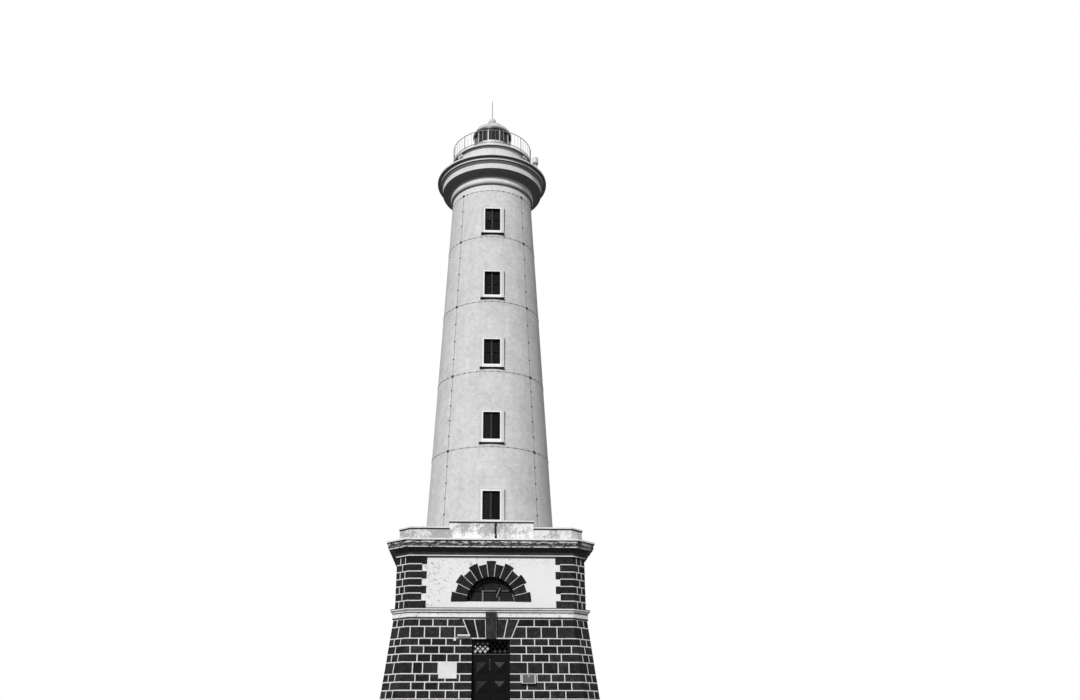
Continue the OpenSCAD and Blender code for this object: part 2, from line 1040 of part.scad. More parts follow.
// A tape round the shaft, following its lean
module tape_ring(z) {
    foot = z - tape_w / 2;
    head = z + tape_w / 2;
    foot_r = shaft_at(foot) + bed_gap;
    head_r = shaft_at(head) + bed_gap;
    rotate_extrude($fn = 128)
        polygon([[foot_r, foot], [foot_r + tape_t, foot], [head_r + tape_t, head], [head_r, head]]);
}

// The cage of flat tapes that leads lightning down the shaft
module lightning_conductors() {
    shaft_lean = atan(shaft_taper);
    color("darkgray")
        union() {
            for (index = [0:lifts])
                tape_ring(joint_0_z + index * lift_h);
            tape_ring(neck_z);
            for (turn = [45:90:315])
                rotate([0, 0, turn])
                    translate([shaft_r + bed_gap, -tape_w / 2, terrace_z + bed_gap])
                        rotate([0, -shaft_lean, 0])
                            cube([tape_t, tape_w, (neck_z - terrace_z) / cos(shaft_lean)]);
        }
}

// Gallery

neck_r = shaft_at(neck_z + neck_h);
cove_z = neck_z + neck_h + astragal_h;
band_z = cove_z + cove_h;
mould_z = band_z + gallery_band_h;
gallery_band_r = neck_r + astragal_out + cove_out;

// The gallery's profile, from the neck up to the slab
gallery_profile = concat(
    [
        [well_r, neck_z], [shaft_at(neck_z), neck_z], [neck_r, neck_z + neck_h]
    ],
    [for (a = [-60:20:60]) [
        neck_r + astragal_out * (0.6 + 0.4 * cos(a * 1.5)),
        neck_z + neck_h + astragal_h * (0.5 + sin(a) / (2 * sin(60)))
    ]],
    [for (a = [0:15:90]) [
        neck_r + astragal_out * 0.6 + (cove_out + astragal_out * 0.4) * (1 - cos(a)),
        cove_z + cove_h * sin(a)
    ]],
    [
        [gallery_band_r, mould_z],
        [gallery_band_r + crown_mould_out * 0.5, mould_z + crown_mould_h * 0.35],
        [gallery_band_r + crown_mould_out * 0.35, mould_z + crown_mould_h * 0.38],
        [gallery_band_r + crown_mould_out * 0.35, mould_z + crown_mould_h * 0.46],
        [gallery_band_r + crown_mould_out, mould_z + crown_mould_h * 0.5],
        [gallery_band_r + crown_mould_out, mould_z + crown_mould_h * 0.82],
        [gallery_band_r + crown_mould_out * 0.7, mould_z + crown_mould_h * 0.85],
        [gallery_band_r + crown_mould_out * 0.7, gallery_z],
        [well_r, gallery_z]
    ]
);

module gallery_cornice() {
    color("gainsboro")
        rotate_extrude($fn = 128)
            polygon(gallery_profile);
}

module gallery_slab() {
    color("lightgray")
        difference() {
            translate([0, 0, gallery_z])
                cylinder(r = gallery_r, h = gallery_slab_t, $fn = 128);
            translate([0, 0, gallery_z - 1])
                cylinder(r = well_r, h = gallery_slab_t + 2);
        }
}

module lantern_drum() {
    color("gainsboro")
        difference() {
            translate([0, 0, drum_z])
                cylinder(r = drum_r, h = drum_h, $fn = 128);
            translate([0, 0, drum_z - 1])
                cylinder(r = drum_r - drum_t, h = drum_h + 2);
        }
}

module upper_slab() {
    color("lightgray")
        translate([0, 0, upper_slab_z])
            cylinder(r = upper_slab_r, h = upper_slab_t, $fn = 128);
}

// Four groups of three small corbels under the upper slab
module slab_brackets() {
    color("gainsboro")
        difference() {
            for (group = [bracket_turn, 180 - bracket_turn, 180 + bracket_turn, -bracket_turn], k = [-1:1])
                rotate([0, 0, group + k * bracket_step - 90])
                    translate([drum_r - bracket_out, -bracket_w / 2, upper_slab_z - bracket_h - bed_gap])
                        cube([2 * bracket_out, bracket_w, bracket_h]);
            translate([0, 0, drum_z])
                cylinder(r = drum_r + bed_gap, h = drum_h, $fn = 128);
        }
}

rail_r = upper_slab_r - rail_edge;

// A flat hoop round the railing with its underside at a height above the slab
module hoop(height) {
    translate([0, 0, lantern_z + height])
        difference() {
            cylinder(r = rail_r + rail_bar / 2, h = rail_bar);
            translate([0, 0, -1])
                cylinder(r = rail_r - rail_bar / 2, h = rail_bar + 2);
        }
}

module gallery_railing() {
    color("dimgray")
        union() {
            hoop(rail_top_h - rail_bar);
            hoop(rail_top_h * 0.12);
            for (i = [0:rail_posts - 1])
                rotate([0, 0, (i + 0.5) * 360 / rail_posts])
                    translate([rail_r - rail_bar / 2, -rail_bar / 2, lantern_z])
                        cube([rail_bar, rail_bar, rail_top_h - 1]);
        }
}

// Lantern

module lantern_wall() {
    color("white")
        difference() {
            translate([0, 0, lantern_z])
                cylinder(r = lantern_r, h = lantern_wall_h);
            translate([0, 0, lantern_z - 1])
                cylinder(r = lantern_r - lantern_wall_t, h = lantern_wall_h + 2);
        }
}

// Polygon that the panes stand on, with its corners on the glazing bars
module pane_ring(r, z, h) {
    rotate([0, 0, 90 + pane_turn])
        translate([0, 0, z])
            cylinder(r = r, h = h, $fn = panes);
}

// The upright glazing bars, one at each corner of the ring of panes
module glazing_bars() {
    for (i = [0:panes - 1])
        rotate([0, 0, 90 + pane_turn + i * 360 / panes])
            translate([lantern_r - glazing_bar - 8, -glazing_bar / 2, glazing_z + glazing_bar / 2])
                cube([glazing_bar + 6, glazing_bar, glazing_h - glazing_bar]);
}

// The rings that the panes stand on and hang from
module glazing_rings() {
    for (z = [glazing_z + bed_gap, roof_z - glazing_bar - bed_gap])
        difference() {
            translate([0, 0, z])
                cylinder(r = lantern_r, h = glazing_bar);
            translate([0, 0, z - 1])
                cylinder(r = lantern_r - lantern_wall_t, h = glazing_bar + 2);
        }
}

module lantern_frame() {
    color("white")
        union() {
            glazing_bars();
            glazing_rings();
        }
}

module lantern_glass() {
    glass_r = lantern_r - glazing_bar / 2 - 5;
    color("lightsteelblue", 0.4)
        difference() {
            pane_ring(
                glass_r,
                glazing_z + glazing_bar + 2 * bed_gap,
                glazing_h - 2 * glazing_bar - 4 * bed_gap
            );
            pane_ring(glass_r - glass_t, glazing_z, glazing_h);
            glazing_bars();
        }
}

eave_r = lantern_r + eave_out;
// Radius of the ball that the dome is cut from
dome_ball_r = (pow(eave_r, 2) + pow(dome_rise, 2)) / (2 * dome_rise);
dome_inner_r = dome_ball_r - dome_t;
// Angles down the dome's profile, from the crown to the eave
dome_spread = acos((dome_ball_r - dome_rise) / dome_ball_r);
dome_angles = [for (i = [0:10]) dome_spread * i / 10];

module lantern_roof() {
    color("silver")
        union() {
            difference() {
                translate([0, 0, roof_z])
                    cylinder(r = eave_r, h = eave_h);
                translate([0, 0, roof_z - 1])
                    cylinder(r = lantern_r - lantern_wall_t, h = eave_h + 2);
            }
            translate([0, 0, dome_z + dome_rise - dome_ball_r])
                rotate_extrude($fn = 96)
                    polygon(concat(
                        [for (a = dome_angles) [dome_ball_r * sin(a), dome_ball_r * cos(a)]],
                        [for (i = [len(dome_angles) - 1:-1:0])
                            [dome_inner_r * sin(dome_angles[i]), dome_inner_r * cos(dome_angles[i])]]
                    ));
        }
}

module roof_vent() {
    neck_foot = dome_z + dome_rise - dome_ball_r + sqrt(pow(dome_ball_r, 2) - pow(vent_r * 0.62, 2));
    color("silver")
        union() {
            difference() {
                translate([0, 0, neck_foot - 20])
                    cylinder(r = vent_r * 0.62, h = vent_z - neck_foot + 21);
                translate([0, 0, dome_z + dome_rise - dome_ball_r])
                    sphere(r = dome_ball_r, $fn = 96);
            }
            intersection() {
                translate([0, 0, vent_z])
                    sphere(r = vent_r);
                translate([0, 0, vent_z])
                    cylinder(r = vent_r, h = vent_r);
            }
        }
}

module lightning_rod() {
    color("dimgray")
        translate([0, 0, vent_z + vent_r])
            union() {
                cylinder(r = rod_r * 2.5, h = 40, $fn = 24);
                cylinder(r = rod_r, h = rod_l, $fn = 24);
            }
}

lens_z = glazing_z + (glazing_h - lens_h) / 2;

module lens_pedestal() {
    color("gray")
        translate([0, 0, lantern_z])
            union() {
                cylinder(r = lens_r * 0.5, h = lens_z - lantern_z - 30);
                cylinder(r = lens_r * 0.9, h = 40);
                translate([0, 0, lens_z - lantern_z - 40])
                    cylinder(r = lens_r * 1.05, h = 40);
            }
}

// The stepped rings of the lens, bulging in the middle
module lens() {
    steps = 6;
    rib = lens_h / (2 * steps + 1);
    rings = [for (i = [-steps:steps]) each [
        [lens_r * (1 - 0.012 * i * i) * (i < 0 ? 0.93 : 1), (i - 0.5) * rib + (i > -steps ? 1 : 0)],
        [lens_r * (1 - 0.012 * i * i) * (i > 0 ? 0.93 : 1), (i + 0.5) * rib]
    ]];
    color("azure", 0.5)
        translate([0, 0, lens_z + lens_h / 2])
            rotate_extrude($fn = 48)
                polygon(concat([[0, -lens_h / 2]], rings, [[0, lens_h / 2]]));
}

module gallery_lamp() {
    foot_w = gallery_lamp_r * 1.12;
    post_r = gallery_lamp_r * 0.36;
    globe_z = gallery_lamp_h * 0.36;
    cap_z = gallery_lamp_h * 0.92;
    color("whitesmoke")
        rotate([0, 0, gallery_lamp_turn])
            translate([0, -gallery_r + gallery_lamp_r - gallery_lamp_out, drum_z])
                union() {
                    translate([-foot_w / 2, -foot_w / 2, 0])
                        cube([foot_w, foot_w, gallery_lamp_h * 0.15]);
                    cylinder(r = post_r, h = globe_z + 1, $fn = 32);
                    translate([0, 0, globe_z])
                        cylinder(r = gallery_lamp_r, h = cap_z - globe_z + 1, $fn = 32);
                    translate([0, 0, cap_z])
                        cylinder(
                            r1 = gallery_lamp_r * 0.9,
                            r2 = gallery_lamp_r * 0.4,
                            h = gallery_lamp_h - cap_z,
                            $fn = 32
                        );
                }
}

// Door

frame_y = lower_half(door_h) - frame_inset;
leaf_y = frame_y - stop_d - leaf_clear;
frame_back = leaf_y - leaf_t;
leaf_foot = ground_floor_t + leaf_gap;
clear_half = door_w / 2 - frame_w;
leaf_w = clear_half - 2 * leaf_clear;
// The hinge's axis lies behind the leaf's outer edge
hinge_x = clear_half - leaf_clear;
hinge_y = frame_back - knuckle_r;
hinge_gap = 0.3;
hinge_plate_t = 6;

// Heights of the hinges above the leaf's foot
function hinge_z(index) = leaf_foot + (leaf_top - leaf_foot) * (0.14 + 0.36 * index) - knuckle_h;

// A block of the frame: half opening, head underside, depth from y to y_back
module frame_block(half, head, y, y_back) {
    difference() {
        translate([-door_w / 2, -y, ground_floor_t])
            cube([door_w, y - y_back, door_h - ground_floor_t]);
        translate([-half, -y - 1, ground_floor_t - 1])
            cube([2 * half, y - y_back + 2, head - ground_floor_t + 1]);
    }
}

module door_frame() {
    color("black")
        union() {
            frame_block(clear_half, door_h - frame_w, frame_y - stop_d + 1, frame_back);
            frame_block(clear_half - stop_w, door_h - frame_w, frame_y, frame_y - stop_d);
            translate([-door_w / 2 + 1, -frame_y, leaf_top + leaf_clear])
                cube([door_w - 2, frame_y - frame_back, frame_w]);
            for (side = [-1, 1], index = [0:2]) {
                translate([side * hinge_x, -hinge_y, hinge_z(index) + knuckle_h + hinge_gap])
                    cylinder(r = knuckle_r, h = knuckle_h, $fn = 24);
                translate([
                    side * (hinge_x + 20) - 20,
                    -frame_back,
                    hinge_z(index) + knuckle_h + hinge_gap
                ])
                    cube([40, hinge_plate_t, knuckle_h]);
            }
        }
}

// Lattice of flat bars in the light over the door
module transom_grille() {
    foot = leaf_top + leaf_clear + frame_w;
    head = door_h - frame_w;
    reach = clear_half + head - foot;
    color("darkgray")
        intersection() {
            translate([-clear_half, -frame_y + stop_d, foot])
                cube([2 * clear_half, lattice_bar, head - foot]);
            union() {
                for (x = [-reach:lattice_pitch:reach], turn = [-45, 45])
                    translate([x, -frame_y + stop_d - 1, foot])
                        rotate([0, turn, 0])
                            translate([-lattice_bar / 2, 0, -reach])
                                cube([lattice_bar, lattice_bar + 2, 3 * reach]);
                difference() {
                    translate([-clear_half, -frame_y + stop_d, foot])
                        cube([2 * clear_half, lattice_bar, head - foot]);
                    translate([-clear_half + lattice_bar, -frame_y + stop_d - 1, foot + lattice_bar])
                        cube([2 * clear_half - 2 * lattice_bar, lattice_bar + 2, head - foot - 2 * lattice_bar]);
                }
            }
        }
}

// A diamond point on a rectangle, rising towards -Y
module diamond(w, h, d) {
    polyhedron(
        points = [[0, 1, 0], [w, 1, 0], [w, 1, h], [0, 1, h], [w / 2, -d, h / 2]],
        faces = [[0, 1, 2, 3], [4, 1, 0], [4, 2, 1], [4, 3, 2], [4, 0, 3]]
    );
}

// The leaf hung on the left jamb
module leaf() {
    leaf_h = leaf_top - leaf_foot;
    panel_w = leaf_w - 2 * stile_w;
    panel_h = (leaf_h - (panel_rows + 1) * rail_h) / panel_rows;
    edge = 16;
    difference() {
        translate([-hinge_x, -leaf_y, leaf_foot])
            cube([leaf_w, leaf_t, leaf_h]);
        for (row = [0:panel_rows - 1])
            translate([-hinge_x + stile_w, -leaf_y - 1, leaf_foot + rail_h + row * (panel_h + rail_h)])
                cube([panel_w, panel_sink + 1, panel_h]);
    }
    for (row = [0:panel_rows - 1])
        translate([
            -hinge_x + stile_w + edge,
            -leaf_y + panel_sink,
            leaf_foot + rail_h + row * (panel_h + rail_h) + edge
        ])
            diamond(panel_w - 2 * edge, panel_h - 2 * edge, diamond_h);
    for (index = [0:2]) {
        translate([-hinge_x, -hinge_y, hinge_z(index)])
            cylinder(r = knuckle_r, h = knuckle_h, $fn = 24);
        translate([-hinge_x, -frame_back - 1, hinge_z(index)])
            cube([40, hinge_plate_t + 1, knuckle_h]);
    }
}

module door_leaf_left() {
    color("black")
        leaf();
}

module door_leaf_right() {
    color("black")
        mirror([1, 0, 0])
            leaf();
}

// Fittings on the front wall

module notice_board() {
    color("white")
        on_front_wall(-board_x, board_z)
            translate([-board_w / 2, -board_t, 0])
                cube([board_w, board_t, board_h]);
}

module meter_box() {
    color("silver")
        on_front_wall(meter_x, meter_z)
            union() {
                translate([-meter_w / 2, -meter_d + meter_door_t, 0])
                    cube([meter_w, meter_d - meter_door_t, meter_h]);
                translate([-meter_w / 2 + meter_edge, -meter_d, meter_edge])
                    cube([meter_w - 2 * meter_edge, meter_door_t + 1, meter_h - 2 * meter_edge]);
                translate([-meter_w / 2 - meter_edge, -meter_d - meter_edge, meter_h])
                    cube([meter_w + 2 * meter_edge, meter_d + meter_edge, meter_edge]);
            }
}

module wall_lamp() {
    color("silver")
        on_front_wall(-lamp_x, door_h + lamp_rise)
            union() {
                translate([-lamp_foot / 2, -lamp_foot, 0])
                    cube([lamp_foot, lamp_foot, lamp_h]);
                translate([-lamp_l / 2, -lamp_foot + 1, lamp_h * 0.4])
                    rotate([90, 0, 90])
                        linear_extrude(height = lamp_l)
                            polygon([
                                [0, 0], [0, lamp_h], [-lamp_d * 0.85, lamp_h * 0.62],
                                [-lamp_d, lamp_h * 0.25], [-lamp_d * 0.85, 0]
                            ]);
            }
}

ground_floor();
door_threshold();
front_wall_left();
front_wall_right();
front_wall_over_door();
left_wall();
right_wall();
back_wall();
door_arch();
door_keystone();
string_course();
first_floor();
front_upper_wall();
left_upper_wall();
right_upper_wall();
back_upper_wall();
corner_quoins();
lunette_arches();
lunette_frames();
lunette_glass();
base_cornice();
terrace();
attic_parapet();
attic_coping();
shaft_lift_1();
shaft_lift_2();
shaft_lift_3();
shaft_lift_4();
shaft_lift_5();
window_surrounds();
window_shutters();
window_casements();
window_glass();
lightning_conductors();
gallery_cornice();
gallery_slab();
lantern_drum();
upper_slab();
slab_brackets();
gallery_railing();
lantern_wall();
lantern_frame();
lantern_glass();
lantern_roof();
roof_vent();
lightning_rod();
lens_pedestal();
lens();
gallery_lamp();
door_frame();
transom_grille();
door_leaf_left();
door_leaf_right();
notice_board();
meter_box();
wall_lamp();
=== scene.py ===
import math
import random
import bpy
import numpy as np
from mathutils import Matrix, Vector


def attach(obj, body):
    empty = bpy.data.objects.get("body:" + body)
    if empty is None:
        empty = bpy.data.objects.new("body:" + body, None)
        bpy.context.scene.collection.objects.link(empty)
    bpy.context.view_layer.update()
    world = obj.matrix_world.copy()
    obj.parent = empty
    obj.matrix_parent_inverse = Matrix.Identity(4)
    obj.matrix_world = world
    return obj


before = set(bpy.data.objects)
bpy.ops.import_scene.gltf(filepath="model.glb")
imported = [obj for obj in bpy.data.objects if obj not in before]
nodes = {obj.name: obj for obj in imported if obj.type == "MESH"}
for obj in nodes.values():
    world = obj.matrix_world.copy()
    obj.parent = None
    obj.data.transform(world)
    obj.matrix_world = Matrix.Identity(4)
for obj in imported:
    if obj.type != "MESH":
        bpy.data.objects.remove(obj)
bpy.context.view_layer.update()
seed = 12
random.seed(seed)
rough = np.random.default_rng(seed)
print("frame loaded:", len(nodes), "nodes")

origin = (0.0, 0.0, 0.0)
upwards = (0.0, 0.0, 1.0)
outwards = (0.0, -1.0, 0.0)  # out of the front
toFront = (0.5 * math.pi, 0.0, 0.0)  # turns a rod or a plane to face the front
toSide = (0.0, 0.5 * math.pi, 0.0)
flat = 0.9  # a face looks along an axis when its normal has this share of it


# Small tools for working by hand in edit mode

def deselectAll():
    bpy.ops.object.select_all(action="DESELECT")


def makeActive(piece):
    deselectAll()
    piece.select_set(True)
    bpy.context.view_layer.objects.active = piece


def applyPlace(piece):
    makeActive(piece)
    bpy.ops.object.transform_apply(location=True, rotation=True, scale=True)


def closeEdit():
    bpy.ops.object.mode_set(mode="OBJECT")


def openForEdit(piece):
    makeActive(piece)
    bpy.ops.object.mode_set(mode="EDIT")
    bpy.ops.mesh.select_mode(type="FACE")
    bpy.ops.mesh.select_all(action="SELECT")


def selectFaces(piece, wanted):
    closeEdit()
    for part in list(piece.data.vertices) + list(piece.data.edges):
        part.select = False
    for face in piece.data.polygons:
        face.select = wanted(face)
    bpy.ops.object.mode_set(mode="EDIT")


def looksFront(face):
    return face.normal.y < -flat


def looksUp(face):
    return face.normal.z > flat


def looksDown(face):
    return face.normal.z < -flat


def looksUpOrDown(face):
    return abs(face.normal.z) > flat


def looksSideways(face):
    return abs(face.normal.x) > flat


def drawOut(shift):
    bpy.ops.mesh.extrude_region_move(TRANSFORM_OT_translate={"value": shift})


# Draws a rim round some faces, then moves and scales what is inside it
def pressFaces(piece, wanted, rim, shift, size=None):
    openForEdit(piece)
    selectFaces(piece, wanted)
    bpy.ops.mesh.inset(thickness=rim)
    drawOut(shift)
    if size:
        bpy.ops.transform.resize(value=size)
    closeEdit()


# Draws flat ends in and out again, as (move along an axis, scale) steps
def drawEnds(piece, wanted, steps, axis=upwards):
    openForEdit(piece)
    selectFaces(piece, wanted)
    for move, size in steps:
        drawOut(tuple(move * part for part in axis))
        bpy.ops.transform.resize(value=(size, size, size))
    closeEdit()


def softEdges(piece, width, segments=1):
    openForEdit(piece)
    bpy.ops.mesh.bevel(offset=width, segments=segments, affect="EDGES")
    closeEdit()


def smoothByAngle(piece, degrees):
    makeActive(piece)
    bpy.ops.object.shade_smooth_by_angle(angle=math.radians(degrees))


def startBox(size, place=origin, name="part"):
    deselectAll()
    bpy.ops.mesh.primitive_cube_add(size=1.0, location=place)
    piece = bpy.context.object
    piece.name = name
    piece.scale = size
    applyPlace(piece)
    return piece


def startRod(radius, length, place=origin, sides=12, tilt=origin, name="part"):
    deselectAll()
    bpy.ops.mesh.primitive_cylinder_add(
        vertices=sides, radius=radius, depth=length, location=place, rotation=tilt,
    )
    piece = bpy.context.object
    piece.name = name
    applyPlace(piece)
    return piece


def copyPiece(master):
    piece = master.copy()
    piece.data = master.data.copy()
    bpy.context.collection.objects.link(piece)
    return piece


def removePiece(piece):
    bpy.data.objects.remove(piece, do_unlink=True)


def joinPieces(pieces, name):
    deselectAll()
    for piece in pieces:
        piece.select_set(True)
    bpy.context.view_layer.objects.active = pieces[0]
    bpy.ops.object.join()
    joined = bpy.context.object
    joined.name = name
    joined.data.name = name
    return joined


# Repeats a piece at each (place, turn) and joins the copies
def layCopies(master, places, name):
    copies = []
    for place, turn in places:
        piece = copyPiece(master)
        piece.location = place
        piece.rotation_euler = turn
        copies.append(piece)
    joined = joinPieces(copies, name)
    applyPlace(joined)
    removePiece(master)
    return joined


def around(radius, angle, z):
    return (radius * math.cos(angle), radius * math.sin(angle), z)


def forwards(reach):
    return (0.0, -reach, 0.0)


def finishPiece(piece, material, body="building"):
    piece.data.materials.clear()
    piece.data.materials.append(material)
    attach(piece, body)


def finishCopies(master, places, name, paint, slot, body="building"):
    finishPiece(layCopies(master, places, name), paints[paint], body)


# Materials: newMaterial starts one, and the tools after it add to the newest

evenly = (1.0, 1.0, 1.0)


def grey(value):
    return (value, value, value, 1.0)


def newMaterial(name, roughness, specular):
    global material, tree, shader
    material = bpy.data.materials.new(name)
    material.use_nodes = True
    tree = material.node_tree
    shader = tree.nodes["Principled BSDF"]
    shader.inputs["Roughness"].default_value = roughness
    shader.inputs["Specular IOR Level"].default_value = specular


def setSocket(socket, value):
    if isinstance(value, bpy.types.NodeSocket):
        tree.links.new(value, socket)
    else:
        socket.default_value = value


# Adds a node, sets or links its sockets and gives back what comes out of it
def addNode(kind, inputs, **settings):
    node = tree.nodes.new("ShaderNode" + kind)
    for name, value in settings.items():
        setattr(node, name, value)
    for socket, value in inputs.items():
        setSocket(node.inputs[socket], value)
    return node.outputs


def ramp(factor, stops, interpolation="LINEAR"):
    node = tree.nodes.new("ShaderNodeValToRGB")
    setSocket(node.inputs["Fac"], factor)
    band = node.color_ramp
    band.interpolation = interpolation
    while len(band.elements) < len(stops):
        band.elements.new(0.5)
    for element, (place, tone) in zip(band.elements, stops):
        element.position = place
        element.color = grey(tone)
    return node.outputs["Color"]


def fall(value, ends):
    return ramp(value, [(ends[0], 1.0), (ends[1], 0.0)])


def climb(value, ends, top=1.0):
    return ramp(value, [(ends[0], 0.0), (ends[1], top)])


def objectCoords(stretch=evenly):
    coords = addNode("TexCoord", {})["Object"]
    if stretch == evenly:
        return coords
    return addNode("Mapping", {"Vector": coords, "Scale": stretch})["Vector"]


def objectAxes():
    return addNode("SeparateXYZ", {"Vector": objectCoords()})


def noise(scale, detail, roughness, stretch=evenly, distortion=0.0):
    inputs = {"Vector": objectCoords(stretch), "Scale": scale, "Detail": detail, "Roughness": roughness}
    return addNode("TexNoise", {**inputs, "Distortion": distortion})["Fac"]


def maths(operation, first, second=0.5):
    return addNode("Math", {0: first, 1: second}, operation=operation)[0]


def times(first, *others):
    for value in others:
        first = maths("MULTIPLY", first, value)
    return first


def plus(first, second):
    return maths("ADD", first, second)


def minus(first, second):
    return maths("SUBTRACT", first, second)


def highest(first, second):
    return maths("MAXIMUM", first, second)


def isBelow(value, limit):
    return maths("LESS_THAN", value, limit)


def isAbove(value, limit):
    return maths("GREATER_THAN", value, limit)


def between(value, low, high):
    return times(isAbove(value, low), isBelow(value, high))


def mixColours(amount, first, second, way="MIX"):
    return addNode("Mix", {0: amount, 6: first, 7: second}, data_type="RGBA", blend_type=way)[2]


def shade(colour, tone):
    return mixColours(1.0, colour, tone, "MULTIPLY")


def cover(colour, amount, tone):
    return mixColours(amount, colour, grey(tone))


# Painted shade: darkens undersides, and leaves faces that stand or lie
paintedShadeSlopes = (0.1, 0.6)


def paintShadeBelow(colour, amount, tone):
    normal = addNode("SeparateXYZ", {"Vector": addNode("NewGeometry", {})["Normal"]})["Z"]
    return cover(colour, times(climb(times(normal, -1.0), paintedShadeSlopes), amount), tone)


# Kinds of mottling: scale, detail and roughness of the noise, and where each tone starts
mottles = {
    "broad": (1.0, 6.0, 0.6, (0.32, 0.5, 0.68)),
    "runs": (1.0, 5.0, 0.6, (0.35, 0.6)),
    "clouds": (5.5, 8.0, 0.75, (0.36, 0.64)),
    "plaster grain": (30.0, 6.0, 0.7, (0.3, 0.7)),
    "plaster specks": (11.0, 3.0, 0.6, (0.57, 0.62)),
    "strands": (1.0, 6.0, 0.7, (0.4, 0.6)),
    "blots": (8.0, 6.0, 0.7, (0.45, 0.6)),
    "attic wash": (1.6, 6.0, 0.65, (0.35, 0.6)),
    "attic specks": (21.0, 4.0, 0.7, (0.6, 0.66)),
    "split stone": (7.0, 8.0, 0.7, (0.3, 0.52, 0.74)),
    "plain stone": (7.0, 8.0, 0.7, (0.3, 0.7)),
    "chalk": (26.0, 5.0, 0.75, (0.62, 0.72)),
    "cut stone": (2.2, 7.0, 0.65, (0.3, 0.55, 0.75)),
    "stone grain": (34.0, 6.0, 0.7, (0.3, 0.65)),
    "paving": (1.4, 7.0, 0.65, (0.3, 0.7)),
    "paving blots": (6.0, 7.0, 0.72, (0.55, 0.68)),
    "prism film": (6.0, 6.0, 0.65, (0.35, 0.7)),
    "surround wash": (3.0, 7.0, 0.65, (0.3, 0.6)),
    "moulding wash": (1.7, 6.0, 0.65, (0.3, 0.6)),
    "crust": (16.0, 5.0, 0.7, (0.35, 0.7)),
    "paint": (3.0, 6.0, 0.6, (0.3, 0.6, 0.8)),
    "wear": (22.0, 6.0, 0.7, (0.62, 0.72)),
    # mottling of the painted light on the door panels
    "paintedSlopeLight": (9.0, 6.0, 0.7, (0.3, 0.6)),
    "pane film": (4.0, 6.0, 0.65, (0.35, 0.7)),
}
# Kinds of plain noise: scale, detail and roughness
noises = {
    "speck drift": (1.3, 4.0, 0.6),
    "attic patches": (9.0, 9.0, 0.8),
    "attic drift": (1.1, 4.0, 0.6),
    "crack waver": (9.0, 3.0, 0.6),
}
# Kinds of relief: scale, detail and roughness of the noise, strength and depth
reliefs = {
    "plaster": (9.0, 8.0, 0.65, 0.25, 0.012),
    "attic": (12.0, 8.0, 0.7, 0.5, 0.015),
    "split stone": (16.0, 9.0, 0.72, 0.7, 0.02),
    "plain stone": (16.0, 9.0, 0.72, 0.6, 0.02),
    "cut stone": (14.0, 8.0, 0.7, 0.35, 0.015),
    "paving": (14.0, 8.0, 0.7, 0.3, 0.012),
    "moulding": (14.0, 8.0, 0.7, 0.4, 0.015),
    "paint": (60.0, 4.0, 0.6, 0.12, 0.004),
}


def mottle(kind, *tones, size=1.0, **settings):
    scale, detail, roughness, places = mottles[kind]
    return ramp(noise(size * scale, detail, roughness, **settings), list(zip(places, tones)))


def finishMaterial(colour, relief=None, stretch=evenly):
    setSocket(shader.inputs["Base Color"], colour)
    if relief:
        scale, detail, roughness, strength, depth = reliefs[relief]
        height = noise(scale, detail, roughness, stretch)
        bump = addNode("Bump", {"Height": height, "Strength": strength, "Distance": depth})
        setSocket(shader.inputs["Normal"], bump["Normal"])
    return material


# Rain stains under the ends of the sills, a painted shadow along under each sill and a painted shadow in the
# corner right of each surround
windowRows = {"foot": 7.737, "step": 3.213}
stainAndShadowValues = {
    "run": (0.39, 0.45, 0.49, 0.53), "runFade": (0.16, 0.8), "strands": (14.0, 14.0, 1.2),
    "patch": (0.3, 0.42), "patchFade": (0.16, 0.55), "stainTop": 20.6,
    # the corner and ledge marks are painted shadows: right of each surround and under each sill
    "corner": (0.498, 0.53), "cornerShadowHigh": 1.2, "cornerShadowTop": 21.8,
    "ledge": (0.1, 0.225), "sillShadowHalf": 0.5, "paintedShadowStrength": 3.1,
}


# Height above the foot of the last window passed on the way up the shaft
def aboveWindowFoot(height):
    return maths("MODULO", minus(height, windowRows["foot"] - windowRows["step"]), windowRows["step"])


def windowStainsAndShadows():
    values = stainAndShadowValues
    across, away, height = objectAxes()
    aside = maths("ABSOLUTE", across)
    above = aboveWindowFoot(height)
    under = minus(windowRows["step"], above)
    run = ramp(aside, list(zip(values["run"], (0.0, 1.0, 1.0, 0.0))))
    strands = mottle("strands", 0.25, 1.0, stretch=values["strands"])
    run = times(run, fall(under, values["runFade"]), strands)
    patch = times(fall(aside, values["patch"]), fall(under, values["patchFade"]), mottle("blots", 0.0, 0.7))
    stain = times(highest(run, patch), isBelow(height, values["stainTop"]))
    # painted shadow in the corner right of each surround
    corner = times(between(across, *values["corner"]), isBelow(above, values["cornerShadowHigh"]))
    corner = times(corner, isBelow(height, values["cornerShadowTop"]), isBelow(away, 0.0))
    # painted shadow under each sill
    ledge = times(between(under, *values["ledge"]), isBelow(aside, values["sillShadowHalf"]))
    return highest(stain, times(highest(corner, ledge), values["paintedShadowStrength"]))


# Dark specks that thicken upwards and to the left
def speckle(colour, values):
    across, away, height = objectAxes()
    rise = times(minus(height, values["speckMiddle"]), values["speckRise"])
    drift = plus(times(across, values["speckLean"]), rise)
    where = climb(plus(noise(*noises["speck drift"]), drift), values["speckFrom"])
    marks = mottle("plaster specks", 0.0, values["specks"], distortion=values["speckBend"])
    return cover(colour, times(where, marks), values["base"] * values["speckTone"])


# Limewashed render: broad mottling, faint runs downwards, clouds and fine grain
plasterShares = {
    "lift": 0.6, "runStretch": (2.6, 2.6, 0.16), "grain": 0.9, "stain": 0.02, "under": 0.75,
    "paintedShadeTone": 0.22,
}


